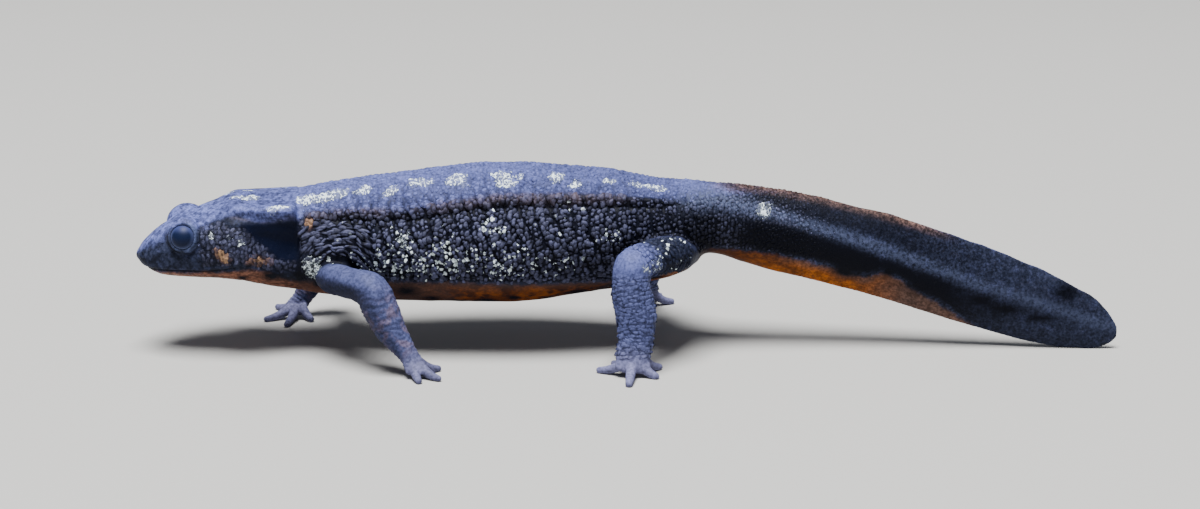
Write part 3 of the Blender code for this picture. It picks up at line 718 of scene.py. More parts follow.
# Markings: each is a number at every point of the skin, which the coat takes over
markSet = {
    # x, height of the orange underside's edge
    "orangeEdge": [(-66, 12.2), (-62, 12.35), (-57.7, 12.5), (-54, 12.75), (-51, 13.15), (-48.5, 13.1),
                   (-46, 12.2), (-43.5, 11.0), (-38, 10.9), (-33, 11.3), (-26.4, 11.3), (-14, 11.0),
                   (-5, 10.8), (1.4, 10.7), (6, 11.6), (10, 13.0), (13, 14.1), (15.6, 14.9), (20.6, 14.5),
                   (24.5, 14.0), (28.5, 13.1), (32.5, 12.1), (35, 10.9), (38, 10.6), (40.4, 11.6),
                   (43, 9.8), (46.6, 7.4), (50, 5.4), (54, 2.5), (58, -1), (74, -2)],
    # x, angle from the top down to which the top is lit, softness in degrees: the back's own paler colour
    # together with painted light from above
    "litEdge": [(-66, 52, 40), (-63, 44, 36), (-61.8, 47, 32), (-61, 47, 30), (-60.2, 42, 26),
                (-58, 38, 18), (-55.8, 45, 12), (-51, 44, 9), (-48.3, 53, 4), (-42.6, 57, 4),
                (-40.8, 47, 9), (-34, 51, 9), (-27, 55, 9), (-21, 52, 9), (-14, 48, 9), (7, 43, 10),
                (14, 49, 11), (18, 38, 16), (24, 18, 20), (34, 8, 12), (74, 0, 8)],
    # x, angle from the top, half length, half arc in degrees, strength
    "crust": [(-50.9, 13, 0.9, 8, 0.8), (-48.8, 17, 1.0, 8, 0.9), (-45.2, 43, 1.5, 7, 1.0),
              (-41.0, 28, 1.9, 9, 1.1), (-37.3, 26, 1.6, 9, 1.1), (-33.0, 26, 1.0, 9, 1.0),
              (-29.4, 30, 1.1, 9, 1.0), (-25.2, 23, 1.4, 8, 1.0), (-20.0, 25, 1.6, 10, 1.0),
              (-13.0, 25, 2.0, 11, 1.1), (-6.0, 23, 1.6, 8, 0.9), (-3.2, 29, 0.8, 7, 0.8),
              (1.3, 24, 0.9, 6, 1.0), (5.4, 21, 1.3, 5, 1.0), (8.2, 25, 1.3, 6, 1.0),
              (23.1, 60, 0.9, 14, 1.0), (-54.0, 63, 0.9, 5, 0.85), (-52.0, 69, 0.8, 4, 0.9),
              (-50.6, 76, 0.7, 4, 0.7), (-40.4, 108, 1.2, 10, 1.0), (-27.4, 81, 1.1, 7, 0.75),
              (-25.0, 108, 1.0, 5, 0.5)],
    # x, angle, half length, half arc, share of the dots that are white
    "specks": [(-27.4, 81, 1.6, 10, 0.8), (-27.9, 107, 1.2, 6, 0.7), (-31.4, 105, 0.8, 6, 0.8),
               (-24.6, 106, 1.6, 6, 0.6), (-22.0, 86, 1.3, 8, 0.7), (-20.8, 107, 1.4, 6, 0.7),
               (-15.4, 66, 0.9, 6, 0.8), (-13.6, 75, 0.9, 6, 0.8), (-13.4, 107, 1.3, 7, 0.6),
               (-10.6, 96, 1.4, 8, 0.5), (-5.0, 110, 1.4, 7, 0.6), (-3.7, 62, 1.2, 8, 0.5),
               (1.4, 84, 1.2, 9, 0.6), (-34.0, 98, 0.9, 8, 0.6), (-22.0, 100, 10.0, 13, 0.5),
               (-25.0, 103, 6.0, 8, 0.5), (-9.0, 106, 4.0, 7, 0.35), (-14.0, 108, 3.0, 6, 0.3)],
    # x, height, half length, half height, strength: small orange spots
    "spots": [(-53.7, 15.65, 0.62, 0.6, 0.9), (-52.9, 14.95, 0.66, 0.66, 0.95),
              (-49.3, 14.3, 0.8, 0.5, 0.5), (-47.9, 14.25, 0.8, 0.6, 0.85), (-46.6, 14.1, 0.5, 0.5, 0.45),
              (-40.7, 19.4, 0.55, 0.75, 0.9)],
    # x, height, half length, half height: black blotches of the throat, belly and tail
    "blotches": [(66.1, 8.3, 2.1, 1.2), (54.2, 7.3, 2.2, 0.9), (57.6, 5.9, 2.6, 0.9), (62.5, 4.6, 2.4, 0.6),
                 (46.0, 9.3, 3.0, 1.2), (-16.3, 7.4, 2.4, 1.0), (-12.0, 8.3, 0.9, 0.7),
                 (-3.9, 8.6, 1.9, 0.6), (-23.8, 7.9, 1.2, 0.7), (-27.3, 9.6, 1.6, 1.0),
                 (-46.4, 11.9, 1.5, 0.8), (-42.2, 11.9, 1.2, 1.6), (-50.5, 11.6, 0.8, 0.5),
                 (-39.7, 10.6, 1.0, 1.0), (34.9, 11.6, 2.2, 1.5), (26.0, 15.8, 3.0, 1.8),
                 (41.0, 11.6, 1.8, 0.9)],
    # x, angle, half length, half arc, strength: a painted shadow in the groin above the knee
    "groin": (4.5, 97, 4.0, 11, 0.8),
    # x, height: the painted highlight line along the tail, where light falls on the top of its muscle
    "tailLine": [(15.6, 21.5), (24.8, 19.7), (36.5, 16.0), (46.6, 12.3), (54.4, 9.2), (62.0, 6.9),
                 (69.8, 4.2), (74, 3.0)],
}
mouthSet = {
    "height": 12.65,
    "rise": 1.05,
    "riseFrom": -56.5,
    "riseTo": -50.0,
    "depth": 0.17,
    "width": 0.16,
    "lip": dict(height=0.05, out=2.4, spread=1.6),
}
nostrilSet = {"place": (-64.0, 2.15, 14.6), "radius": 0.26, "depth": 0.42, "shadow": 0.34,
              "rim": dict(height=0.06, out=2.0, spread=0.7)}
hollowSet = {"rear": -42.5, "front": -50.7, "slant": 0.12, "top": 52.0, "soft": 1.4, "arc": (55.0, 101.0, 8)}
creaseSet = {
    # waver = size and seed of the noise that bends them, along and arc = both ends and their softness
    "flank": dict(pitch=2.1, lean=0.35, waver=(2.6, 4), along=(-37, 14, 4), arc=(40, 120, 14)),
    "back": dict(pitch=1.8, lean=0.0, waver=(1.8, 12), along=(-40, 14, 5), arc=(20, 62, 14)),
    "leanFrom": 16,
    "bend": 0.8,
    "sharpness": 8,
    "broken": dict(level=0.7, much=1.3, size=1.7, seed=13),
    "backShare": 0.7,
}
ridgeNoise = {"size": 2.2, "seed": 14, "much": 1.5}
# Named edges: where a change starts, how long it takes, below zero where it runs the other way, and how much
# it comes to where that isn't 1. They are along x, in degrees from the top, in height or in a limb's share.
edgeSet = {
    "headSkin": (-44.0, -4),
    "mouth": (-50.4, -1.4),
    "behindMouth": (-49.5, 2, 3.0),
    "underside": (-0.1, 0.7),
    "shelfFoot": (56, 5),
    "cheekTop": (46, 8),
    "armFold": (1.05, 0.1),
    "limbCoat": (0.3, 0.4),
    "limbEdge": (0.0, 0.5),
    "tailCoat": (17.0, 28),
    "finFrom": (19, 4),
    "finTop": (5, 9),
    "finEnd": (60, 8),
    "forearm": (0.3, 0.1),
    "innerThigh": (0.16, 0.08),
    "thighUnder": (-0.5, -0.3, 2.8),
    "rustFront": (-30, 14),
    "rustRear": (37, 8, 0.8),
    "dimDepth": (0.2, 1.5),
    "dimFrom": (-42, 5, 0.75),
    "tailFaded": (35, 9, 0.8),
    "bellyDapple": (125, 22, 0.5),
    "tailDapple": (11, 6, 0.75),
    "rosyFrom": (0.38, 0.12),
    "wrist": (0.75, 0.2),
    "shinRear": (0.4, 0.4),
    "crust": (0.26, 0.5),
    "thigh": (0.2, 0.08),
    "tail": (13, 9),
    "tailRoot": (15, 12),
    "tailHighlightFrom": (9, 6),
    "tailHighlightFade": (24, 20, 0.5),
    "crownSoft": (14, 28, 0.26),
    "headSoft": (-40, -5, 0.9),
    "rearSoft": (5, 8, 0.6),
    "rearSoftArc": (28, 20),
    "headBare": (-40, -4, 0.9),
    "grainFade": (46, 16, 0.6),
    "elbow": (0.3, 0.2),
    "crest": (0.0, 1.2),
    "belowLine": (-0.5, -1.2),
    "aboveOrange": (0.0, 1.0),
    "lowerFade": (48, 12, 0.85),
    "upperFrom": (13, 6, 0.8),
    "upperFade": (40, 22, 0.75),
    "lipAlong": (-53, -4, 0.08),
    "lipArc": (75, 25),
    "rearDrop": (6, 6, 10.0),
    "rearArc": (46, 14),
    "rumpArc": (56, 12),
    "napeArc": (34, 8),
    "bellyEdge": (-0.3, 0.8),
    "jowlArc": (92, 10),
    "eyeCrown": (1.1, 0.8),
    "lidRim": (0.0, 0.12),
    "headFlatter": (-50, 12),
    "tailSmaller": (17, 26, 0.55),
    "rumpSmaller": (2, 8, 0.2),
    "fullSize": (0.0, 0.8),
    "fullLimb": (0.0, 0.45),
    "fullFold": (0.0, 0.6),
}
# Named bands: both ends, their softness, and how much lies between them where that isn't 1
bandSet = {
    "trunk": (-41.5, 17.5, 4.0),
    "cheekCoat": (-56.2, -41.5, 2.4),
    "cheekArc": (50, 130, 8),
    "cheek": (-57, -41, 2),
    "shelf": (-52.5, -42.0, 1.5),
    "shelfWarm": (-52, -42, 2, 0.2),
    "kneeGap": (0.3, 0.42, 0.08, 0.9),
    "legCoat": (0.08, 0.93, 0.1),
    "ridge": (-40, 4, 5),
    "underRidge": (-41, 8, 5),
    "chestFaded": (-36, -21, 5, 0.6),
    "tailRootBright": (13, 26, 4, 0.8),
    "shin": (0.24, 0.36, 0.05, 1.25),
    "speckled": (-38, 8, 6, 0.03),
    "speckledArc": (55, 112, 10),
    "kneeLit": (0.24, 0.4, 0.06, 0.75),
    "rim": (17, 47, 8),
    "rear": (4, 24, 8, 0.55),
    "rump": (10, 17, 5, 0.85),
    "saddle": (-9, 12, 5, 0.16),
    "nape": (-54, -43, 3, 0.25),
    "belly": (-37, 8, 6, 0.5),
    "jowl": (-46.5, -38, 4, 0.5),
    "shoulder": (-42.0, -31.8, 0.8),
    "shoulderArc": (60, 125, 4),
}


def past(value, key):
    start, length, much = (*edgeSet[key], 1.0)[:3]
    return much * smoothstep((value - start) / length)


def within(value, key):
    low, high, soft, much = (*bandSet[key], 1.0)[:4]
    return much * between(value, low, high, soft)


def hump(value, centre, width):
    return np.exp(-(((value - centre) / width) ** 2))


def hollow(x, angle):
    # the hollow under the shelf behind the head, where its painted shadow lies
    front = hollowSet["front"] + hollowSet["slant"] * (angle - hollowSet["top"])
    return between(x, front, hollowSet["rear"], hollowSet["soft"]) * between(angle, *hollowSet["arc"])


def ridgeAngle(x):
    form = bodySet["forms"]["dorsolateral ridge"]
    return np.interp(x, np.linspace(*form["along"], len(form["angle"])), form["angle"])


def underRidge(points, x, angle, drop, width):
    # the groove under the ridge of the back, which wanders
    wander = ridgeNoise["much"] * noise(points, ridgeNoise["size"], ridgeNoise["seed"])
    return hump(angle - ridgeAngle(x) - drop - wander, 0.0, width) * within(x, "underRidge")


def crease(points, x, angle, values):
    lean = values["lean"] * (points[:, 2] - creaseSet["leanFrom"])
    phase = (x + lean + creaseSet["bend"] * noise(points, *values["waver"])) / values["pitch"]
    wave = np.cos(math.pi * phase) ** creaseSet["sharpness"]
    return wave * between(x, *values["along"]) * between(angle, *values["arc"])


def creases(points, x, angle):
    # upright folds of the flank, and shorter broken ones that run up onto the back
    broken = creaseSet["broken"]
    flank = crease(points, x, angle, creaseSet["flank"])
    back = crease(points, x, angle, creaseSet["back"])
    back = back * smoothstep(broken["level"] + broken["much"] * noise(points, broken["size"], broken["seed"]))
    return np.maximum(flank, creaseSet["backShare"] * back), flank, back


def mouthLine(x):
    share = smoothstep((x - mouthSet["riseFrom"]) / (mouthSet["riseTo"] - mouthSet["riseFrom"]))
    return mouthSet["height"] + mouthSet["rise"] * share


def orangeHeight(x):
    return np.interp(x, *np.array(markSet["orangeEdge"]).T)


def cheekPlace(x, angle):
    return within(x, "cheek") * past(angle, "cheekTop")


# between: how much painted shade the skin takes where granules stand
coverSet = {"aboveMouth": (0.4, 0.6), "tailFrom": 14, "foldAngle": 60, "foldFrom": -42, "between": 0.8}


def coverage(points, places):
    # how granular the skin is at each place, from 0 to 1
    x, _, angle, reach, limb, share, number, digit = places
    z = points[:, 2]
    above, over = coverSet["aboveMouth"]
    underside = past(z - orangeHeight(x), "underside")
    trunk = within(x, "trunk") + (1 - past(x, "tailCoat")) * (x > coverSet["tailFrom"])
    cheek = within(x, "cheekCoat") * within(angle, "cheekArc")
    cheek = cheek * smoothstep((z - mouthLine(x) - above) / over + past(x, "behindMouth"))
    shelf = within(x, "shelf") * (1 - past(angle, "shelfFoot"))
    fold = past(reach, "armFold") * (angle > coverSet["foldAngle"]) * (x > coverSet["foldFrom"])
    body = np.maximum(np.clip(trunk, 0, 1), cheek) * (1 - fold) * (1 - shelf) * underside
    legs = past(limb, "limbCoat") * (digit == 0) * within(share, "legCoat") * (number >= 2)
    return np.clip(body * (1 - past(limb, "limbEdge")) + legs * (1 - within(share, "kneeGap")), 0, 1)


fineSet = {
    # size, seed and height of each kind of lump
    "body": [(2.4, 1, 0.06), (1.1, 2, 0.03)],
    "head": [(0.5, 6, 0.022), (0.9, 16, 0.022)],
    "limb": [(1.6, 7, 0.08), (0.8, 8, 0.05)],
    "cheek": [(0.45, 19, 0.03)],
    "headCalm": 0.5,
    "wrinkle": dict(count=26, bend=0.9, size=1.5, seed=21, sharpness=3, height=0.06),
    "fin": dict(size=2.6, seed=23, height=0.13),
    "flankFold": 0.22,
    "backFold": 0.14,
    "underRidge": dict(drop=7.5, width=2.4, depth=0.16),
    "underCoat": 0.1,
}


def fromNostril(points, side):
    return np.linalg.norm(points - outFromSpine(*nostrilSet["place"], side), axis=1)


def lumps(points, key):
    return sum(height * noise(points, size, seed) for size, seed, height in fineSet[key])


def fineForms(points):
    # how far the small forms of the skin lie out from the smooth one
    places = bodyAndLimb(points)
    x, _, angle, _, limb, share, number, digit = places
    wrinkles, fin, ridge, lip = fineSet["wrinkle"], fineSet["fin"], fineSet["underRidge"], mouthSet["lip"]
    head = past(x, "headSkin")
    rise = lumps(points, "body") * (1 - fineSet["headCalm"] * head)
    rise += head * lumps(points, "head")
    rise += limb * (digit == 0) * lumps(points, "limb")
    phase = wrinkles["count"] * share + wrinkles["bend"] * noise(points, wrinkles["size"], wrinkles["seed"])
    wrinkle = np.cos(2 * math.pi * phase) ** wrinkles["sharpness"]
    rise += wrinkles["height"] * limb * (digit == 0) * wrinkle * (number < 2) * past(share, "forearm")
    wave = fin["height"] * noise(np.column_stack([x, x * 0, x * 0]), fin["size"], fin["seed"])
    rise += wave * past(x, "finFrom") * (1 - past(angle, "finTop")) * (1 - past(x, "finEnd"))
    aside = (points[:, 2] - mouthLine(x)) / mouthSet["width"]
    parted = past(x, "mouth") * (1 - limb)
    rise -= mouthSet["depth"] * parted * np.exp(-(aside**2))
    rise += lip["height"] * parted * np.exp(-((np.abs(aside) - lip["out"]) ** 2) / lip["spread"])
    for side in (1, -1):
        rim = nostrilSet["rim"]
        away = fromNostril(points, side) / nostrilSet["radius"]
        rise -= nostrilSet["depth"] * np.exp(-(away**2))
        rise += rim["height"] * np.exp(-((away - rim["out"]) ** 2) / rim["spread"])
    _, flank, back = creases(points, x, angle)
    rise -= (fineSet["flankFold"] * flank + fineSet["backFold"] * back) * (1 - limb)
    rise -= ridge["depth"] * underRidge(points, x, angle, ridge["drop"], ridge["width"]) * (1 - limb)
    rise -= fineSet["underCoat"] * coverage(points, places)
    return rise + cheekPlace(x, angle) * lumps(points, "cheek")


skin.points = shapeLids(skin.points)
normals = skin.normals()
skin.points = skin.points + normals * fineForms(skin.points)[:, None]
print("lids, mouth, nostrils and folds shaped")

skinMesh = rawMesh("skin", inFrame(skin.points), skin.quads)
skinMesh.shade_smooth()
skinPiece = linked("skin", skinMesh)
decimate = skinPiece.modifiers.new("Decimate", "DECIMATE")
decimate.ratio = skinSet["triangles"] / (2 * len(skin.quads))
skinMesh = plainMesh(skinPiece, "skin")
skinPiece.modifiers.clear()
skinPiece.data = skinMesh
skinMesh.shade_smooth()
print("skin thinned:", len(skinMesh.polygons), "faces")

# Markings on the skin
tintSet = {
    # the far side has the same marks, a little moved, as no animal is quite even
    "farShift": (0.9, -3),
    "limbOrange": 2.0,
    "orangeNoise": dict(size=1.6, seed=26, much=0.5),
    "dappleLeast": 0.5,
    "crustNoise": dict(size=1.1, seed=18, much=0.42),
    "thighSpecks": 0.17,
    # the painted highlight line's height and width, and what the tail's root adds to both
    "line": dict(width=0.7, root=0.6),
    "soft": dict(crown=0.85, cheek=0.38, least=0.16),
    "tailBare": 0.5,
    # how low on the arm its painted shade underneath starts, and what the forearm's turn takes from it
    "under": dict(level=0.85, bend=0.4, slope=1.6, soft=0.8, lighter=0.45),
    "ridge": dict(drop=1.0, width=4.5, warm=0.36, uneven=0.3, size=3.5, seed=25),
    "shelf": dict(along=(-52, -48, -42), angle=(47, 54, 55), width=1.6),
    # mouth, underRidge, upperLine, groove, cheek and nostril: for painted shade in the mouth's groove, under
    # the ridge, on the tail above its highlight line, in the folds and in the nostrils, and for a darker
    # cheek
    "mouth": dict(width=0.16, much=0.9),
    "underRidge": dict(drop=8, width=2.1, much=0.78),
    "upperLine": 0.6,
    "groove": 0.78,
    "cheek": 0.25,
    "nostril": 0.97,
}
lidTint = {
    "lowShare": 0.3,
    "width": (0.24, 0.26),
    "much": (0.2, 0.8),
    "inner": -1.0,
    "soft": 0.2,
    "innerRim": 0.3,
    "rim": dict(least=0.1, low=0.85, behind=0.8, out=0.13, width=0.17, much=0.95),
}


def spots(along, up, rows):
    # each row is its place, its half lengths and how strong it is where that isn't 1
    total = 0
    for row in rows:
        a, b, wide, high, much = (*row, 1.0)[:5]
        total = total + much * np.exp(-(((along - a) / wide) ** 2) - ((up - b) / high) ** 2)
    return total


def uneven(points, key):
    values = tintSet[key]
    return values["much"] * noise(points, values["size"], values["seed"])


def limbMarks(marks, points, places):
    _, _, _, _, limb, share, number, digit = places
    nearest = limbPlace(points)[1]
    aside = (points - limbRows[nearest, :3]) / limbRows[nearest, 3][:, None]
    arm, leg, under = limb * (number < 2), limb * (number >= 2), tintSet["under"]
    inner = leg * (1 - past(share, "innerThigh")) * past(aside[:, 2], "thighUnder")
    marks["orange"] += inner - tintSet["limbOrange"] * limb
    marks["arm"] = arm
    marks["rosy"] = arm * past(share, "rosyFrom") * (1 - past(share, "wrist"))
    marks["crust"] += limb * (number == 2) * within(share, "shin") * past(aside[:, 0], "shinRear")
    marks["dusk"] = leg * (1 - past(share, "thigh")) * (digit == 0)
    # painted light on the knee's top
    marks["lit"] += leg * within(share, "kneeLit")
    # painted shade on the arm's underside, lighter on the forearm
    bend = past(share, "elbow")
    level = under["level"] - under["bend"] * bend
    below = smoothstep((level - under["slope"] * aside[:, 2] - bend * aside[:, 0]) / under["soft"])
    marks["under"] = arm * below * (1 - under["lighter"] * bend) * (1 - past(share, "wrist"))


def shades(points, places, line, root):
    # the dark places of the head, body and tail: painted shade in the hollow and under it on the jaw, in the
    # mouth's groove, the groove under the ridge and the folds, in the groin, low on the snout's sides, under
    # the belly and on the tail's sides away from its painted highlight line; the nape, saddle, rear flank,
    # rump and cheek are only made darker
    x, _, angle, _, limb, _, _, _ = places
    z, edge = points[:, 2], orangeHeight(x)
    mouth, ridge = tintSet["mouth"], tintSet["underRidge"]
    tailSide = past(line, "belowLine") * past(z - edge, "aboveOrange")
    return np.maximum.reduce([
        hollow(x, angle),
        mouth["much"] * hump(z, mouthLine(x), mouth["width"]) * past(x, "mouth"),
        ridge["much"] * underRidge(points, x, angle, ridge["drop"], ridge["width"]),
        past(x, "tail") * tailSide * (1 - past(x, "lowerFade")),
        past(x, "upperFrom") * smoothstep(line - tintSet["upperLine"] - root) * (1 - past(x, "upperFade")),
        past(x, "lipAlong") * past(angle, "lipArc"),
        tintSet["groove"] * creases(points, x, angle)[0],
        within(x, "rear") * past(angle - past(x, "rearDrop"), "rearArc"),
        within(x, "rump") * past(angle, "rumpArc"),
        spots(x, angle, [markSet["groin"]]),
        tintSet["cheek"] * cheekPlace(x, angle),
        within(x, "nape") * (1 - past(angle, "napeArc")),
        within(x, "belly") * past(edge - z, "bellyEdge"),
        within(x, "jowl") * past(angle, "jowlArc"),
        within(x, "saddle"),
    ]) * (1 - limb)


def faceMarks(marks, points):
    # the nostrils' painted shade, the ring of each lid, the painted shade of the dark rim round it and
    # between it and the eye, and painted light above each eye
    marks["lid"] = np.zeros(len(points))
    for side in (1, -1):
        pit = tintSet["nostril"] * hump(fromNostril(points, side), 0.0, nostrilSet["shadow"])
        marks["shade"] = np.maximum(marks["shade"], pit)
        _, f, u, r, near = lidPlace(points, side, lidSet["marked"])
        beyond, low, behind = r - lidSet["opening"], onRing("low", u, r), onRing("behind", f, r)
        ring = np.maximum(lidTint["lowShare"] * low, behind)
        wide = lidTint["width"][0] + lidTint["width"][1] * ring
        much = lidTint["much"][0] + lidTint["much"][1] * ring
        marks["lid"][near] = (much * between(beyond, lidTint["inner"], wide, lidTint["soft"]))[near]
        # painted shade in the groove round the lid's ring, most on its low side, and between the ring and the
        # eye
        values = lidTint["rim"]
        rim = values["least"] + values["low"] * low * (1 - values["behind"] * behind)
        rim = rim * hump(beyond - wide, values["out"], values["width"])
        rim = rim + lidTint["innerRim"] * (1 - past(beyond, "lidRim"))
        # painted light on the skin above each eye
        crown = past(points[:, 2] - eyeSet["centre"][2], "eyeCrown")
        marks["lit"][near] = np.maximum(marks["lit"], crown)[near]
        marks["shade"][near] = np.maximum(marks["shade"], np.minimum(values["much"] * rim, 1))[near]


def markings(points):
    places = bodyAndLimb(points)
    x, out, angle, _, limb, share, _, _ = places
    z, body = points[:, 2], 1 - limb
    shiftX, shiftAngle = (np.where(out < 0, 0, shift) for shift in tintSet["farShift"])
    xSide, angleSide = x + shiftX, angle + shiftAngle
    edge, tail = orangeHeight(x), past(x, "tail")
    marks = {"limb": limb, "share": share * limb, "orange": (edge - z) * body}
    marks["rust"] = np.maximum(1 - past(x, "rustFront"), past(x, "rustRear"))
    depth = edge - z + uneven(points, "orangeNoise")
    dim = (1 - past(depth, "dimDepth")) * past(x, "dimFrom")
    faded = np.maximum(past(x, "tailFaded"), within(x, "chestFaded"))
    marks["dim"] = np.maximum(dim, faded) * (1 - within(x, "tailRootBright"))
    marks["dapple"] = (tintSet["dappleLeast"] + past(angle, "bellyDapple")) * (1 - past(x, "tailDapple"))
    marks["spot"] = body * spots(xSide, z, markSet["spots"])
    crust = spots(xSide, angleSide, markSet["crust"]) * body
    marks["crust"] = past(crust + uneven(points, "crustNoise"), "crust")
    # lit: the top painted lighter, partly its own paler colour and partly painted light falling from above
    xs, edges, softs = np.array(markSet["litEdge"]).T
    marks["lit"] = 1 - smoothstep((angle - np.interp(x, xs, edges)) / np.interp(x, xs, softs) + 0.5)
    # soft = how much of its colour the skin keeps between the granules, against the painted shade there
    values = tintSet["soft"]
    soft = np.maximum(values["crown"] - past(angle, "crownSoft"), past(x, "headSoft")) * marks["lit"]
    soft = np.maximum(np.maximum(soft, values["cheek"] * cheekPlace(x, angle)), values["least"]) * body
    marks["soft"] = soft * (1 - past(x, "rearSoft") * past(angle, "rearSoftArc"))
    marks["lit"] = marks["lit"] * body
    limbMarks(marks, points, places)
    specks = spots(xSide, angleSide, markSet["specks"]) * (body + marks["dusk"])
    few = within(x, "speckled") * within(angle, "speckledArc") * body
    marks["speck"] = specks + few + tintSet["thighSpecks"] * marks["dusk"]
    # a painted highlight along the tail, where light falls on the top of its muscle
    values = tintSet["line"]
    line = z - np.interp(x, *np.array(markSet["tailLine"]).T)
    root = 1 - past(x, "tailRoot")
    pale = hump(line, values["root"] * root, values["width"] + values["root"] * root)
    marks["pale"] = pale * past(x, "tailHighlightFrom") * body * (1 - past(x, "tailHighlightFade"))
    marks["bare"] = body * np.maximum(past(x, "headBare"), tintSet["tailBare"] * tail)
    marks["grain"] = body * tail * (1 - past(x, "grainFade"))
    values = tintSet["ridge"]
    ridge = hump(angle - ridgeAngle(x), values["drop"], values["width"]) * within(x, "ridge")
    warmth = values["warm"] + values["uneven"] * noise(points, values["size"], values["seed"])
    values = tintSet["shelf"]
    shelf = hump(angle, np.interp(x, values["along"], values["angle"]), values["width"])
    marks["warm"] = np.maximum(warmth * ridge, shelf * within(x, "shelfWarm")) * body
    crest = np.interp(x, tableX, tableFrame[0])
    marks["rim"] = tail * (1 - past(crest - z, "crest")) * within(x, "rim") * body
    marks["blotch"] = spots(x, z, markSet["blotches"]) * body
    marks["shade"] = shades(points, places, line, root)
    # painted shadow in the hollow under the shelf, dark blue
    marks["night"] = body * hollow(x, angle)
    faceMarks(marks, points)
    return marks, places


# Coat: granules packed in upright rows, the folds of the shoulders and the cells of the legs
coatSet = {
    # along = where the rows run, pitch along the body and round it, size = half width round the body,
    # half length along it and height, angle = degrees from the top
    "back": dict(along=(-43.0, 17.5), pitch=(0.72, 0.8), size=(0.5, 0.44, 0.13), angle=(-30, 43), seed=5),
    "flank": dict(along=(-42.0, 17.0), pitch=(0.62, 0.68), size=(0.54, 0.49, 0.31), angle=(43, 133), seed=3),
    "cheek": dict(along=(-56.5, -42.7), pitch=(0.62, 0.66), size=(0.48, 0.42, 0.13), angle=(43, 122), seed=9),
    "tail": dict(along=(17.2, 44.0), pitch=(0.5, 0.6), size=(0.4, 0.34, 0.12), angle=(-30, 170), seed=7),
    # place = where on the limb, in path points
    "thigh": dict(place=(0.9, 2.8), pitch=(0.62, 0.8), size=(0.52, 0.4, 0.2), limbs=(2, 3), seed=13),
    "shank": dict(place=(3.5, 8.3), pitch=(0.5, 0.86), size=(0.6, 0.34, 0.055), limbs=(2, 3), seed=15),
}
foldSet = {
    "centre": (-36.6, 12.4),
    "reach": (2.9, 7.6),
    "pitch": (0.5, 0.76),
    "size": (0.92, 0.36, 0.22),
    "squash": 0.8,
    "seed": 11,
    "stagger": 0.4,
    "turnJitter": 0.1,
    "reachJitter": 0.05,
    "snap": 1.8,
    # where the folds are, no granules stand
    "clear": dict(margin=0.3, below=0.5, along=(-42.2, -31.5), angle=60),
}
coatShare = {
    "jitter": 0.3,
    "wander": 0.6,
    "wanderSize": 3.2,
    "ahead": 0.05,
    "bodySides": 61,
    "limbSides": 36,
    "limbStep": 0.02,
    "sink": 0.25,
    "snap": 0.7,
    "smallest": 0.3,
    "flattest": 0.35,
    "varied": (0.6, 1.25),
    "turn": 24.0,
    "patch": 0.003,
    # how much smaller granules are in the hollow and in the folds
    "hollow": 0.7,
    "crease": 0.4,
    # the rows' angles follow the ridge of the back, from here on and above this angle
    "ridge": dict(start=-41, lowest=90, middle=45),
    "bodyLimb": 0.35,
    "foldLimb": 0.5,
}


def runLength(points):
    return np.concatenate([[0.0], np.cumsum(np.linalg.norm(np.diff(points, axis=0), axis=1))])


def spread(loops, aheads, pitch, seed):
    # roots in rows: each loop is one row, and every second row starts half a step further on
    rng = np.random.default_rng(seed)
    jitter = coatShare["jitter"]
    roots, ways = [], []
    for row, (loop, ahead) in enumerate(zip(loops, aheads)):
        closed = np.vstack([loop, loop[:1]])
        arc = runLength(closed)
        count = max(int(arc[-1] / pitch[1]), 3)
        places = np.arange(count) + 0.5 * (row % 2) + rng.uniform(-1, 1, count) * jitter
        places = places * arc[-1] / count % arc[-1]
        found, beyond = (
            np.column_stack([np.interp(p % arc[-1], arc, closed[:, k]) for k in range(3)])
            for p in (places, places + coatShare["ahead"])
        )
        wander = coatShare["wander"] * noise(found, coatShare["wanderSize"], seed)
        slide = rng.uniform(-1, 1, count) * jitter + wander
        roots.append(found + ahead * slide[:, None] * pitch[0])
        ways.append(beyond - found)
    return np.vstack(roots), np.vstack(ways)


def bodyRoots(values):
    loops, aheads = [], []
    for x in np.arange(*values["along"], values["pitch"][0]):
        _, rightX, rightY = (float(v) for v in spine(x))
        loops.append(bodyRing(x, np.linspace(0.0, 180.0, coatShare["bodySides"])))
        aheads.append(np.array([rightY, -rightX, 0.0]))
    return spread(loops, aheads, values["pitch"], values["seed"])


def limbRoots(values):
    found = []
    for number in values["limbs"]:
        limb = list(limbSet.values())[number]
        wide = np.array(limb["wide"]) / np.linalg.norm(limb["wide"])
        fine = np.arange(*values["place"], coatShare["limbStep"])
        run = runLength(np.array([pathPoint(limb["path"], place)[:3] for place in fine]))
        places = np.interp(np.arange(0.0, run[-1], values["pitch"][0]), run, fine)
        loops = [limbRing(limb["path"], place, coatShare["limbSides"], wide) for place in places]
        aheads = np.gradient(np.array([loop.mean(axis=0) for loop in loops]), axis=0)
        aheads /= np.linalg.norm(aheads, axis=1)[:, None]
        found.append(spread(loops, aheads, values["pitch"], values["seed"] + number))
    return tuple(np.vstack(each) for each in zip(*found))


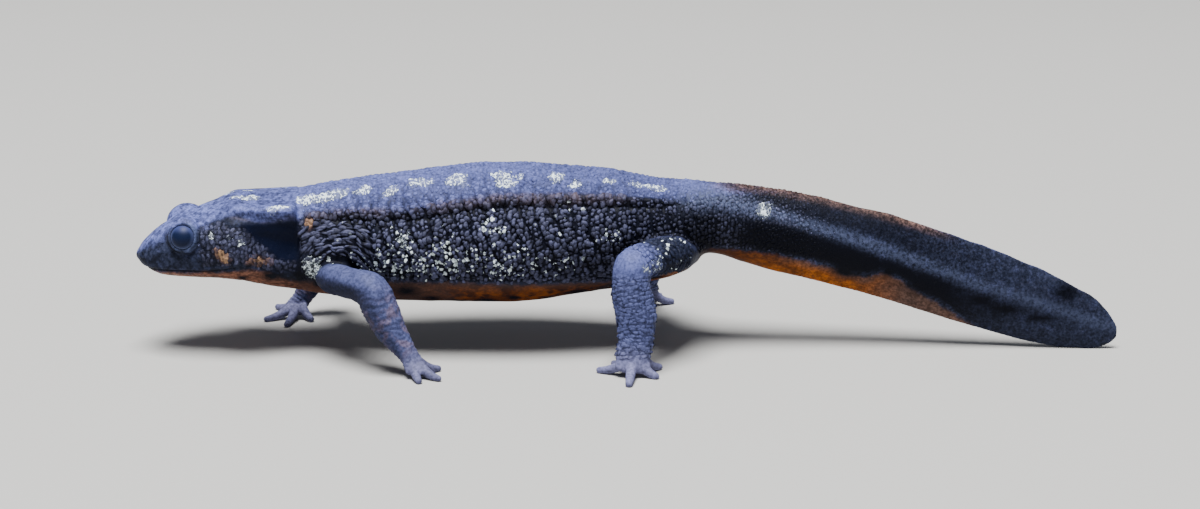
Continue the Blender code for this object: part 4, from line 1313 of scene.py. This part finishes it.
def foldRoots():
    # folds that run round the root of each arm, over it
    rng = np.random.default_rng(foldSet["seed"])
    (cx, cz), squash, jitter = foldSet["centre"], foldSet["squash"], foldSet["turnJitter"]
    roots, ways = [], []
    for side in (1, -1):
        for row, reach in enumerate(np.arange(*foldSet["reach"], foldSet["pitch"][0])):
            turns = np.arange(0.0, math.pi, foldSet["pitch"][1] / reach) + foldSet["stagger"] * (row % 2)
            for turn in turns + rng.uniform(-jitter, jitter, len(turns)):
                along = reach * (1 + foldSet["reachJitter"] * rng.uniform(-1, 1))
                x, z = cx + along * math.cos(turn) / squash, cz + along * math.sin(turn)
                _, _, _, half = bodyFrame(np.array([x]))
                roots.append(outFromSpine(x, float(half[0]), z, side))
                ways.append((-math.sin(turn) / squash, 0.0, math.cos(turn)))
    return np.array(roots), np.array(ways)


unwrapSet = {
    "body": dict(left=0.02, width=0.95, start=-66, length=142, middle=0.5, half=0.34),
    "limb": dict(left=0.02, step=0.24, width=0.2, longest=1.3, low=0.01, high=0.12, least=0.5),
}


def unwrap(points, places):
    # the skin laid flat: the body along u and round in v, the four limbs in strips beside it
    x, out, angle, _, limb, share, number, _ = places
    body, strip = unwrapSet["body"], unwrapSet["limb"]
    u = body["left"] + body["width"] * (x - body["start"]) / body["length"]
    v = body["middle"] + np.where(out < 0, 1, -1) * angle / 180 * body["half"]
    middles = limbRows[limbPlace(points)[1], :3]
    turn = np.arctan2(points[:, 0] - middles[:, 0], points[:, 1] - middles[:, 1]) / (2 * math.pi) + 0.5
    along = strip["width"] * np.minimum(share, strip["longest"]) / strip["longest"]
    u = np.where(limb > strip["least"], strip["left"] + strip["step"] * number + along, u)
    v = np.where(limb > strip["least"], strip["low"] + strip["high"] * turn, v)
    return np.column_stack([u, v, np.zeros(len(u))])


domeSet = {
    "kinds": 8,
    "sides": 8,
    "rings": [(1.0, -0.8), (0.86, 0.0), (0.62, 0.55), (0.32, 0.88)],  # radius, height
    "corner": 2.6,
    "lobes": ((1, 0.12), (2, 0.19), (3, 0.12)),
    "turnJitter": 0.2,
    "lean": 0.26,
    "patch": 0.4,
    "riseFrom": -0.1,
}


def domeMesh(name, seed):
    # a low uneven dome, unit size, its rim below z 0
    rng = np.random.default_rng(seed)
    sides, corner, jitter = domeSet["sides"], domeSet["corner"], domeSet["turnJitter"]
    turns = np.linspace(0, 2 * math.pi, sides, endpoint=False) + rng.uniform(-jitter, jitter, sides)
    outline = (np.abs(np.cos(turns)) ** corner + np.abs(np.sin(turns)) ** corner) ** (-1 / corner)
    for lobes, much in domeSet["lobes"]:
        outline *= 1 + much * np.cos(lobes * turns + rng.uniform(0, 2 * math.pi))
    lean = rng.uniform(-domeSet["lean"], domeSet["lean"], 2)
    points = []
    for r, z in domeSet["rings"]:
        ring = np.column_stack([np.cos(turns) * outline * r, np.sin(turns) * outline * r, np.full(sides, z)])
        ring[:, :2] += lean * z
        points.append(ring)
    points = np.vstack([*points, [[*lean, 1.0]]])
    faces = ringFaces(len(domeSet["rings"]), sides)
    last = (len(domeSet["rings"]) - 1) * sides
    faces += [(last + side, last + (side + 1) % sides, last + sides) for side in range(sides)]
    mesh = rawMesh(name, points, faces)
    mesh.shade_smooth()
    addAttribute(mesh, "patch", points * (domeSet["patch"], domeSet["patch"], 0), "FLOAT_VECTOR")
    # rise: 0 at the rim and 1 on top, for the painted shade at each granule's foot
    addAttribute(mesh, "rise", np.clip(points[:, 2] - domeSet["riseFrom"], 0, 1))
    return mesh


def domeCollection():
    found = bpy.data.collections.new("domes")
    for number in range(domeSet["kinds"]):
        obj = bpy.data.objects.new("dome%d" % number, domeMesh("dome%d" % number, number))
        found.objects.link(obj)
    return found


def coatTree():
    # a dome on each root, turned to stand on the skin, made real, with a patch of the unwrap each
    tree = bpy.data.node_groups.new("coat", "GeometryNodeTree")
    face = tree.interface
    face.new_socket("Geometry", in_out="INPUT", socket_type="NodeSocketGeometry")
    for name in ("Turn", "Smallest", "Largest", "Patch", "Sink"):
        face.new_socket(name, in_out="INPUT", socket_type="NodeSocketFloat")
    for name, kind in (("Seed", "Int"), ("Domes", "Collection"), ("Material", "Material")):
        face.new_socket(name, in_out="INPUT", socket_type="NodeSocket" + kind)
    face.new_socket("Geometry", in_out="OUTPUT", socket_type="NodeSocketGeometry")

    def node(kind, inputs, **settings):
        # each input is a value, a socket or another node's first output
        made = tree.nodes.new(kind)
        for key, value in settings.items():
            setattr(made, key, value)
        for key, value in inputs.items():
            if isinstance(value, bpy.types.Node):
                value = value.outputs[0]
            if isinstance(value, bpy.types.NodeSocket):
                tree.links.new(value, made.inputs[key])
            else:
                made.inputs[key].default_value = value
        return made

    def named(name):
        return node("GeometryNodeInputNamedAttribute", {"Name": name}, data_type="FLOAT_VECTOR")

    def vectorMath(operation, inputs):
        return node("ShaderNodeVectorMath", inputs, operation=operation)

    def chance(low, high, seed):
        seeded = node("ShaderNodeMath", {0: given["Seed"], 1: seed}, operation="ADD")
        inputs = {2: low, 3: high, "ID": node("GeometryNodeInputIndex", {}), "Seed": seeded}
        return node("FunctionNodeRandomValue", inputs, data_type="FLOAT").outputs[1]

    def stored(geometry, name, value, kind, domain):
        inputs = {"Geometry": geometry, "Name": name, "Value": value}
        return node("GeometryNodeStoreNamedAttribute", inputs, data_type=kind, domain=domain)

    given = node("NodeGroupInput", {}).outputs
    ways = {"Primary Axis": named("facing"), "Secondary Axis": named("lie")}
    stand = node("FunctionNodeAxesToRotation", ways, primary_axis="Z", secondary_axis="X")
    back = node("ShaderNodeMath", {0: given["Turn"], 1: -1.0}, operation="MULTIPLY")
    turn = {"Axis": (0, 0, 1), "Angle": chance(back.outputs[0], given["Turn"], 1)}
    spin = node("FunctionNodeAxisAngleToRotation", turn)
    turned = node("FunctionNodeRotateRotation", {0: stand, 1: spin}, rotation_space="LOCAL")
    size = named("size")
    scale = vectorMath("SCALE", {0: size, "Scale": chance(given["Smallest"], given["Largest"], 2)})
    picked = {"Collection": given["Domes"], "Separate Children": True, "Reset Children": True}
    domes = node("GeometryNodeCollectionInfo", picked)
    placed = node("GeometryNodeInstanceOnPoints", {
        "Points": given["Geometry"],
        "Instance": domes,
        "Pick Instance": True,
        "Instance Index": chance(0.0, domeSet["kinds"] - 0.01, 3),
        "Rotation": turned,
        "Scale": scale,
    })
    own = stored(placed, "own", chance(0.0, 1.0, 4), "FLOAT", "INSTANCE")
    down = vectorMath("MULTIPLY", {0: size, 1: node("ShaderNodeCombineXYZ", {"Z": given["Sink"]})})
    sunk = node("GeometryNodeTranslateInstances", {"Instances": own, "Translation": down})
    real = node("GeometryNodeRealizeInstances", {"Geometry": sunk})
    small = vectorMath("SCALE", {0: named("patch"), "Scale": given["Patch"]})
    laid = vectorMath("ADD", {0: named("unwrapped"), 1: small})
    baked = stored(real, "OFBake", laid, "FLOAT2", "CORNER")
    paint = node("GeometryNodeSetMaterial", {"Geometry": baked, "Material": given["Material"]})
    node("NodeGroupOutput", {0: paint})
    return tree


def setInput(modifier, tree, name, value):
    for item in tree.interface.items_tree:
        if item.item_type == "SOCKET" and item.in_out == "INPUT" and item.name == name:
            modifier[item.identifier] = value


# Finish of the skin and its coat
skinLook = {
    # gap: black, for the painted shade between granules, in folds and hollows and under the arm, for the
    # arms' darker tone, and for the black blotches and dapples
    "gap": (0.0022, 0.0026, 0.006),
    # the dark blue of the painted shadow in the hollow under the shelf
    "night": (0.003, 0.005, 0.018),
    # flank and back: the granules' colour on the sides and on the lit top; side and back: the same for the
    # bare skin. The back's lightness is partly painted light from above
    "flank": (0.05, 0.053, 0.094),
    "back": (0.076, 0.09, 0.235),
    "side": (0.018, 0.022, 0.044),
    "lid": (0.056, 0.071, 0.145),
    "pale": (0.056, 0.068, 0.125),
    "thigh": (0.012, 0.015, 0.031),
    "limb": (0.066, 0.077, 0.18),
    "limbPink": (0.12, 0.095, 0.155),
    "toe": (0.12, 0.122, 0.225),
    "warm": (0.14, 0.105, 0.13),
    "rim": (0.3, 0.17, 0.13),
    "orange": (0.3, 0.08, 0.006),
    "brown": (0.18, 0.048, 0.005),
    "rust": (0.175, 0.08, 0.055),
    "dim": (0.068, 0.045, 0.04),
    "tan": (0.12, 0.066, 0.05),
    "spot": (0.56, 0.34, 0.19),
    "white": (0.66, 0.75, 0.78),
    "unchanged": (1.0, 1.0, 1.0),
    "specular": 0.055,
    "bump": dict(strength=0.4, distance=0.12),
    "warp": dict(size=0.35, reach=0.5),
    # how much of each mark shows, and of each noise round its middle
    "share": {"varied": 0.6, "arm": 0.22, "under": 0.78, "rust": 0.85, "lid": 0.9, "night": 0.9,
              "tone": 0.5, "ragged": 1.7, "spotted": 0.5},
}
# size, detail, roughness and, where it isn't 1, how the size is divided from side to side
skinGrain = {
    "fine": (0.4, 4.0, 0.6),
    "mottle": (1.5, 3.0, 0.6),
    "broad": (4.0, 2.0, 0.5),
    "tail": (0.36, 2.5, 0.6),
    "ragged": (1.3, 4.0, 0.65),
    "dapple": (2.6, 3.0, 0.6),
    "bare": (0.85, 3.0, 0.65),
    "pale": (0.42, 3.0, 0.65),
    "squiggle": (0.7, 1.5, 0.5, 0.4),
    "frost": (0.5, 1.0, 0.5),
    "bump": (0.32, 4.0, 0.62),
}
# from and to, and what they become where that isn't 0 and 1
skinRamp = {
    # granule, skin and legGap: how the rise mark turns into painted shade between the granules
    "granule": (0.18, 0.88),
    "skin": (0.1, 0.9),
    "varied": (0, 1, 0.6, 1.35),
    "rosy": (0.45, 0.62, 0.0, 0.85),
    "toe": (0.76, 1.0),
    "legGap": (0.1, 0.6, 0.5, 0.0),
    "warm": (0.35, 0.6, 0.3, 1.0),
    "rim": (0.3, 0.5, 0.5, 1.0),
    "grain": (0.38, 0.62, 0.4, 1.65),
    "orange": (-0.3, 0.6),
    "brown": (0.42, 0.6),
    "dapple": (0.44, 0.58, 0.0, 0.95),
    "tan": (0.0, 0.75),
    "spot": (0.4, 1.15),
    "blotch": (0.3, 0.6, 0.85, 1.3),
    "fine": (0.3, 0.68, 0.62, 1.3),
    "mottle": (0.3, 0.7, 0.86, 1.12),
    "bare": (0.38, 0.6, 0.47, 1.36),
    "pale": (0.4, 0.6, 0.2, 1.1),
    "frost": (0.7, 0.74),
    "frostFrom": (0.15, 0.4),
    "crust": (0.0, 0.014),
    "crustVeil": (0.2, 1.0, 0.0, 0.08),
    "dot": (0, 0.1),
    "dotChance": (0.0, 0.05),
    "roughness": (0.3, 0.7, 0.42, 0.6),
}
crustLook = {"line": 0.03, "frost": 0.12}
# cell size, radius, share of the speckled places' cells
dotLook = [(0.64, 0.27, 1.0), (1.05, 0.22, 0.5)]
dotUneven = 0.2


def skinMaterial(name, granule):
    made = bpy.data.materials.new(name)
    made.use_nodes = True
    nodes, links = made.node_tree.nodes, made.node_tree.links
    shader = nodes["Principled BSDF"]
    coords = nodes.new("ShaderNodeTexCoord").outputs["Object"]

    def feed(sockets, values):
        for socket, value in zip(sockets, values):
            if isinstance(value, bpy.types.NodeSocket):
                links.new(value, socket)
            else:
                socket.default_value = (*value, 1.0) if isinstance(value, tuple) else value

    def mark(key):
        found = nodes.new("ShaderNodeAttribute")
        found.attribute_name = key
        return found.outputs["Fac"]

    def shared(key):
        return times(mark(key), skinLook["share"][key])

    def texture(key):
        size, detail, rough, across = (*skinGrain[key], 1.0)[:4]
        found = nodes.new("ShaderNodeTexNoise")
        drawn = nodes.new("ShaderNodeVectorMath")
        drawn.operation = "MULTIPLY"
        drawn.inputs[1].default_value = (1.0, across, 1.0)
        links.new(coords, drawn.inputs[0])
        found.inputs["Scale"].default_value = 1.0 / (size * mm)
        found.inputs["Detail"].default_value = detail
        found.inputs["Roughness"].default_value = rough
        links.new(drawn.outputs[0], found.inputs["Vector"])
        return found.outputs["Fac"]

    def maths(operation, *values):
        found = nodes.new("ShaderNodeMath")
        found.operation = operation
        feed(found.inputs, values)
        return found.outputs[0]

    def times(first, second):
        return maths("MULTIPLY", first, second)

    def centred(value, key):
        return times(maths("SUBTRACT", value, 0.5), skinLook["share"][key])

    def ramp(value, key):
        found = nodes.new("ShaderNodeMapRange")
        found.interpolation_type = "SMOOTHSTEP"
        feed(list(found.inputs)[:5], (value, *(*skinRamp[key], 0.0, 1.0)[:4]))
        return found.outputs[0]

    def mix(share, first, second, blend="MIX"):
        found = nodes.new("ShaderNodeMix")
        found.data_type, found.blend_type = "RGBA", blend
        feed((found.inputs[0], found.inputs[6], found.inputs[7]), (share, first, second))
        return found.outputs[2]

    def scaled(colour, value):
        return mix(1.0, colour, value, "MULTIPLY")

    def layered(colour, *layers):
        # colours laid over one another, each by its share
        for share, key in layers:
            colour = mix(share, colour, skinLook[key])
        return colour

    def dots(size, radius, much):
        # small round dots, this share of their cells
        found = nodes.new("ShaderNodeTexVoronoi")
        found.inputs["Scale"].default_value = 1.0 / (size * mm)
        links.new(warp.outputs[0], found.inputs["Vector"])
        chance = nodes.new("ShaderNodeSeparateColor")
        links.new(found.outputs["Color"], chance.inputs[0])
        edge = maths("ADD", times(chance.outputs[1], dotUneven), radius)
        within = ramp(maths("SUBTRACT", edge, found.outputs["Distance"]), "dot")
        share = times(mark("speck"), much)
        return times(within, ramp(maths("SUBTRACT", share, chance.outputs[0]), "dotChance"))

    stir = nodes.new("ShaderNodeTexNoise")
    stir.inputs["Scale"].default_value = 1.0 / (skinLook["warp"]["size"] * mm)
    stir.inputs["Detail"].default_value = 1.0
    links.new(coords, stir.inputs["Vector"])
    warp = nodes.new("ShaderNodeVectorMath")
    warp.operation = "MULTIPLY_ADD"
    warp.inputs[1].default_value = (skinLook["warp"]["reach"] * mm,) * 3
    links.new(stir.outputs["Color"], warp.inputs[0])
    links.new(coords, warp.inputs[2])

    lit, rise, crusted = mark("lit"), mark("rise"), mark("crust")
    fine, mottle = texture("fine"), texture("mottle")
    # from the sides' dark colour to the back's paler one by the lit mark, which is partly painted light from
    # above
    tone = maths("ADD", lit, centred(mottle, "tone"))
    if granule:
        own = ramp(mark("own"), "varied")
        varied = mix(times(lit, skinLook["share"]["varied"]), own, skinLook["unchanged"])
        colour = scaled(mix(tone, skinLook["flank"], skinLook["back"]), varied)
        depth = ramp(rise, "granule")
    else:
        colour = mix(tone, skinLook["side"], skinLook["back"])
        depth = ramp(rise, "skin")
    # painted shade between the granules: low on each granule and on skin where granules stand, the colour
    # goes to the gap's black, less where soft keeps it
    colour = mix(maths("MAXIMUM", depth, mark("soft")), skinLook["gap"], colour)
    # limb colour: painted light on the knee by lit, painted shade between the leg's granules and under the
    # arm
    leg = layered(
        skinLook["limb"],
        (times(ramp(mottle, "rosy"), mark("rosy")), "limbPink"),
        (ramp(mark("share"), "toe"), "toe"),
        (shared("arm"), "gap"),
        (lit, "back"),
        (mark("dusk"), "thigh"),
        (ramp(rise, "legGap"), "gap"),
        (shared("under"), "gap"),
    )
    colour = layered(
        mix(mark("limb"), colour, leg),
        (times(mark("warm"), ramp(mottle, "warm")), "warm"),
        (times(mark("rim"), ramp(mottle, "rim")), "rim"),
    )
    colour = mix(mark("grain"), colour, scaled(colour, ramp(texture("tail"), "grain")))
    orange = layered(
        skinLook["orange"],
        (ramp(texture("broad"), "brown"), "brown"),
        (times(ramp(texture("dapple"), "dapple"), mark("dapple")), "gap"),
        (shared("rust"), "rust"),
        (mark("dim"), "dim"),
    )
    ragged = centred(texture("ragged"), "ragged")
    colour = mix(ramp(maths("ADD", mark("orange"), ragged), "orange"), colour, orange)
    spotted = maths("ADD", mark("spot"), centred(fine, "spotted"))
    colour = layered(
        colour,
        (ramp(spotted, "tan"), "tan"),
        (ramp(spotted, "spot"), "spot"),
        (times(mark("blotch"), ramp(mottle, "blotch")), "gap"),
        (shared("lid"), "lid"),
    )
    colour = scaled(scaled(colour, ramp(fine, "fine")), ramp(mottle, "mottle"))
    colour = mix(mark("bare"), colour, scaled(colour, ramp(texture("bare"), "bare")))
    # winding lines where the noise is near its middle value, as the white crust has
    squiggle = maths("ABSOLUTE", maths("SUBTRACT", texture("squiggle"), 0.5))
    lines = ramp(maths("SUBTRACT", times(crusted, crustLook["line"]), squiggle), "crust")
    frost = ramp(maths("ADD", texture("frost"), times(crusted, crustLook["frost"])), "frost")
    frost = maths("MAXIMUM", lines, times(frost, ramp(crusted, "frostFrom")))
    # painted shade, the hollow's painted shadow, the tail's painted highlight line, then the white crust and
    # dots
    colour = layered(
        colour,
        (mark("shade"), "gap"),
        (shared("night"), "night"),
        (times(mark("pale"), ramp(texture("pale"), "pale")), "pale"),
        (maths("MAXIMUM", frost, ramp(crusted, "crustVeil")), "white"),
        *[(dots(*values), "white") for values in dotLook],
    )
    links.new(colour, shader.inputs["Base Color"])
    links.new(ramp(fine, "roughness"), shader.inputs["Roughness"])
    shader.inputs["Specular IOR Level"].default_value = skinLook["specular"]
    bump = nodes.new("ShaderNodeBump")
    bump.inputs["Strength"].default_value = skinLook["bump"]["strength"]
    bump.inputs["Distance"].default_value = skinLook["bump"]["distance"] * mm
    links.new(texture("bump"), bump.inputs["Height"])
    links.new(bump.outputs[0], shader.inputs["Normal"])
    return made


def vertexArray(mesh):
    found = np.zeros(len(mesh.vertices) * 3)
    mesh.vertices.foreach_get("co", found)
    return found.reshape(-1, 3)


def skinMarks(points):
    marks, places = markings(points)
    # rise: low where granules stand, for the painted shade on the skin between them
    marks["rise"] = 1 - coverSet["between"] * coverage(points, places)
    return marks, places


ownPoints = vertexArray(skinMesh) / mm - toFrame
marks, _ = skinMarks(ownPoints)
marks["own"] = np.full(len(ownPoints), 0.5)
for key, values in marks.items():
    addAttribute(skinMesh, key, values)
skinMesh.materials.append(skinMaterial("skin", False))
print("markings laid on the skin")


def layCoat(name, roots, ways, values, keep, snap=coatShare["snap"]):
    # roots are set down on the skin, and those that have no room there are left out
    found = [skinSearch.find_nearest(Vector(root)) for root in roots]
    landed = np.array([tuple(hit[0]) for hit in found])
    facing = np.array([tuple(hit[1]) for hit in found])
    away = np.array([hit[3] for hit in found])
    marks, places = skinMarks(landed)
    shrink = keep(landed, places)
    kept = np.flatnonzero((away < snap) & (shrink > coatShare["smallest"]))
    landed, facing, ways, shrink = landed[kept], facing[kept], ways[kept], shrink[kept]
    places = tuple(column[kept] for column in places)
    mesh = rawMesh(name, inFrame(landed), [])
    # low on the head and full height behind it
    height = np.maximum(past(places[0], "headFlatter")[:, None] ** (0, 0, 1), coatShare["flattest"])
    size = shrink[:, None] * np.array(values["size"]) * mm * height
    vectors = {"facing": facing, "lie": ways, "size": size, "unwrapped": unwrap(landed, places)}
    for key, column in vectors.items():
        addAttribute(mesh, key, column, "FLOAT_VECTOR")
    for key, column in marks.items():
        if key != "rise":
            addAttribute(mesh, key, column[kept])
    obj = linked(name, mesh)
    modifier = obj.modifiers.new("Coat", "NODES")
    modifier.node_group = tree
    inputs = {
        "Turn": math.radians(coatShare["turn"]),
        "Smallest": coatShare["varied"][0],
        "Largest": coatShare["varied"][1],
        "Patch": coatShare["patch"],
        "Sink": -coatShare["sink"],
        "Seed": values["seed"],
        "Domes": domes,
        "Material": granules,
    }
    for key, value in inputs.items():
        setInput(modifier, tree, key, value)
    mesh = plainMesh(obj, name)
    obj.modifiers.clear()
    obj.data = mesh
    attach(obj, "root")
    triangles = sum(len(face.vertices) - 2 for face in mesh.polygons)
    print(name, len(kept), "granules,", triangles, "triangles")


def inAngle(values):
    low, high = values["angle"]
    (cx, cz), clear, ridge = foldSet["centre"], foldSet["clear"], coatShare["ridge"]

    def keep(points, places):
        x, _, angle, _, limb, _, _, _ = places
        z = points[:, 2]
        near = np.hypot((x - cx) * foldSet["squash"], z - cz) < foldSet["reach"][1] - clear["margin"]
        folds = near & (z > cz - clear["below"]) & (x > clear["along"][0]) & (x < clear["along"][1])
        folds = folds & (angle > clear["angle"])
        onRidge = (x > ridge["start"]) & (angle < ridge["lowest"])
        level = angle - np.where(onRidge, ridgeAngle(x) - ridge["middle"], 0)
        size = past(coverage(points, places), "fullSize") * (level >= low) * (level < high)
        size = size * (limb < coatShare["bodyLimb"])
        rear = 1 - past(x, "tailSmaller") - past(x, "rumpSmaller") * (x < edgeSet["tailSmaller"][0])
        dip = 1 - coatShare["hollow"] * hollow(x, angle)
        return size * rear * (1 - folds) * dip * (1 - coatShare["crease"] * creases(points, x, angle)[0])

    return keep


def onLimb(points, places):
    limb, digit = places[4], places[7]
    return past(coverage(points, places), "fullLimb") * (limb > coatShare["bodyLimb"]) * (digit == 0)


def onShoulder(points, places):
    x, angle, limb = places[0], places[2], places[4]
    edge = within(x, "shoulder") * within(angle, "shoulderArc") * (limb < coatShare["foldLimb"])
    return edge * past(coverage(points, places), "fullFold")


skinSearch = BVHTree.FromPolygons(
    [tuple(point) for point in ownPoints], [tuple(face.vertices) for face in skinMesh.polygons]
)
granules, tree, domes = skinMaterial("granules", True), coatTree(), domeCollection()
for key, values in coatSet.items():
    if "angle" in values:
        layCoat("coat_" + key, *bodyRoots(values), values, inAngle(values))
    else:
        layCoat("coat_" + key, *limbRoots(values), values, onLimb)
layCoat("coat_shoulder", *foldRoots(), foldSet, onShoulder, foldSet["snap"])

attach(skinPiece, "root")
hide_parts(*[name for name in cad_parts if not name.startswith("eye")])


# Eyes
eyeLook = {
    # the eye's navy is partly a painted reflection of blue light on a dark iris
    "iris": (0.022, 0.03, 0.078),
    "pupil": (0.0035, 0.0075, 0.028),
    "rim": (0.034, 0.043, 0.098),
    "stops": (("rim", 0.54), ("iris", 0.7), ("pupil", 0.8)),
    # above: the eye's upper part painted lighter blue, partly a painted reflection of the lamp above and
    # partly a lighter upper iris
    "above": (0.026, 0.034, 0.105),
    "aboveFrom": (0.35, 1.1),
    "crescent": (0.085, 0.105, 0.2),
    "crescentLine": dict(radius=1.6, width=0.08, much=0.75, level=0.35, down=0.62, ahead=0.4),
    "leastRadius": 0.1,
    "inset": 0.02,
    "roughness": 0.48,
    "specular": 0.12,
}


def makeEye(side, name, node):
    centre, gaze, front, upward = eyeFrame(side)
    points, faces = ballMesh(np.zeros(3), eyeSet["radius"] - eyeLook["inset"], *roundSet["eye"])
    turnTo = np.column_stack([front, np.cross(gaze, front), gaze])
    mesh = rawMesh(name, inFrame(points @ turnTo.T + centre), faces)
    mesh.shade_smooth()
    ahead, shown = points[:, 0], points[:, 2] > 0
    addAttribute(mesh, "facing", points[:, 2] / eyeSet["radius"])
    r, up = np.hypot(points[:, 0], points[:, 1]), points @ turnTo.T @ upward
    values, least = eyeLook["crescentLine"], np.maximum(r, eyeLook["leastRadius"])
    low = smoothstep(values["level"] - values["down"] * up / least + values["ahead"] * ahead / least)
    line = hump(r, values["radius"], values["width"])
    addAttribute(mesh, "crescent", values["much"] * low * line * shown)
    # how far up the eye its painted reflection reaches
    start, length = eyeLook["aboveFrom"]
    addAttribute(mesh, "above", smoothstep((up - start) / length) * shown)
    obj = linked(name, mesh)
    made = bpy.data.materials.new(name)
    made.use_nodes = True
    nodes, links = made.node_tree.nodes, made.node_tree.links
    shader = nodes["Principled BSDF"]
    facing = nodes.new("ShaderNodeAttribute")
    facing.attribute_name = "facing"
    ramp = nodes.new("ShaderNodeValToRGB")
    elements = ramp.color_ramp.elements
    for number, (key, place) in enumerate(eyeLook["stops"]):
        stop = elements[number] if number < 2 else elements.new(place)
        stop.position, stop.color = place, (*eyeLook[key], 1)
    links.new(facing.outputs["Fac"], ramp.inputs[0])
    colour = ramp.outputs[0]
    for key in ("above", "crescent"):
        share = nodes.new("ShaderNodeAttribute")
        share.attribute_name = key
        mixed = nodes.new("ShaderNodeMix")
        mixed.data_type = "RGBA"
        links.new(share.outputs["Fac"], mixed.inputs[0])
        links.new(colour, mixed.inputs[6])
        mixed.inputs[7].default_value = (*eyeLook[key], 1)
        colour = mixed.outputs[2]
    links.new(colour, shader.inputs["Base Color"])
    shader.inputs["Roughness"].default_value = eyeLook["roughness"]
    shader.inputs["Specular IOR Level"].default_value = eyeLook["specular"]
    mesh.materials.append(made)
    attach(obj, "root")
    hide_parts(node)


makeEye(1, "eyeball_left", "eye_left")
makeEye(-1, "eyeball_right", "eye_right")
print("eyes made")

# Studio
studioSet = {
    "elevation": 15.0,
    "distance": 300.0,
    "target": (0.0, 0.0, 13.2),
    "lens": 63.38,
    "sensor": 36.0,
    "lamp": (-0.12, -0.3, 1.5),  # metres
    "lampSize": 0.7,
    "power": 88.0,
    "fill": 0.2,
    "sky": (0.8, 0.85, 1.0),
    "clip": (0.01, 50.0),
    "floorSize": 8.0,
    "floor": (0.38, 0.375, 0.36),
}


def studio():
    tilt = math.radians(studioSet["elevation"])
    back = np.array([0.0, -math.cos(tilt), math.sin(tilt)]) * studioSet["distance"]
    camera = bpy.data.cameras.new("camera")
    camera.lens, camera.sensor_width = studioSet["lens"], studioSet["sensor"]
    camera.clip_start, camera.clip_end = studioSet["clip"]
    cameraObject = linked("camera", camera)
    cameraObject.location = inFrame(np.array(studioSet["target"]) + back)
    cameraObject.rotation_euler = (math.pi / 2 - tilt, 0.0, 0.0)
    bpy.context.scene.camera = cameraObject
    bpy.ops.mesh.primitive_plane_add(size=studioSet["floorSize"])
    floor = bpy.context.object
    floor.name = "floor"
    paint = bpy.data.materials.new("floor")
    paint.use_nodes = True
    shader = paint.node_tree.nodes["Principled BSDF"]
    shader.inputs["Base Color"].default_value = (*studioSet["floor"], 1)
    floor.data.materials.append(paint)
    world = bpy.data.worlds.new("studio")
    world.use_nodes = True
    sky = world.node_tree.nodes["Background"]
    sky.inputs["Color"].default_value = (*studioSet["sky"], 1)
    sky.inputs["Strength"].default_value = studioSet["fill"]
    bpy.context.scene.world = world
    lamp = bpy.data.lights.new("key", "AREA")
    lamp.energy, lamp.size = studioSet["power"], studioSet["lampSize"]
    lampObject = linked("key", lamp)
    lampObject.location = studioSet["lamp"]
    lampObject.rotation_euler = (-Vector(lampObject.location)).to_track_quat("-Z", "Y").to_euler()


studio()
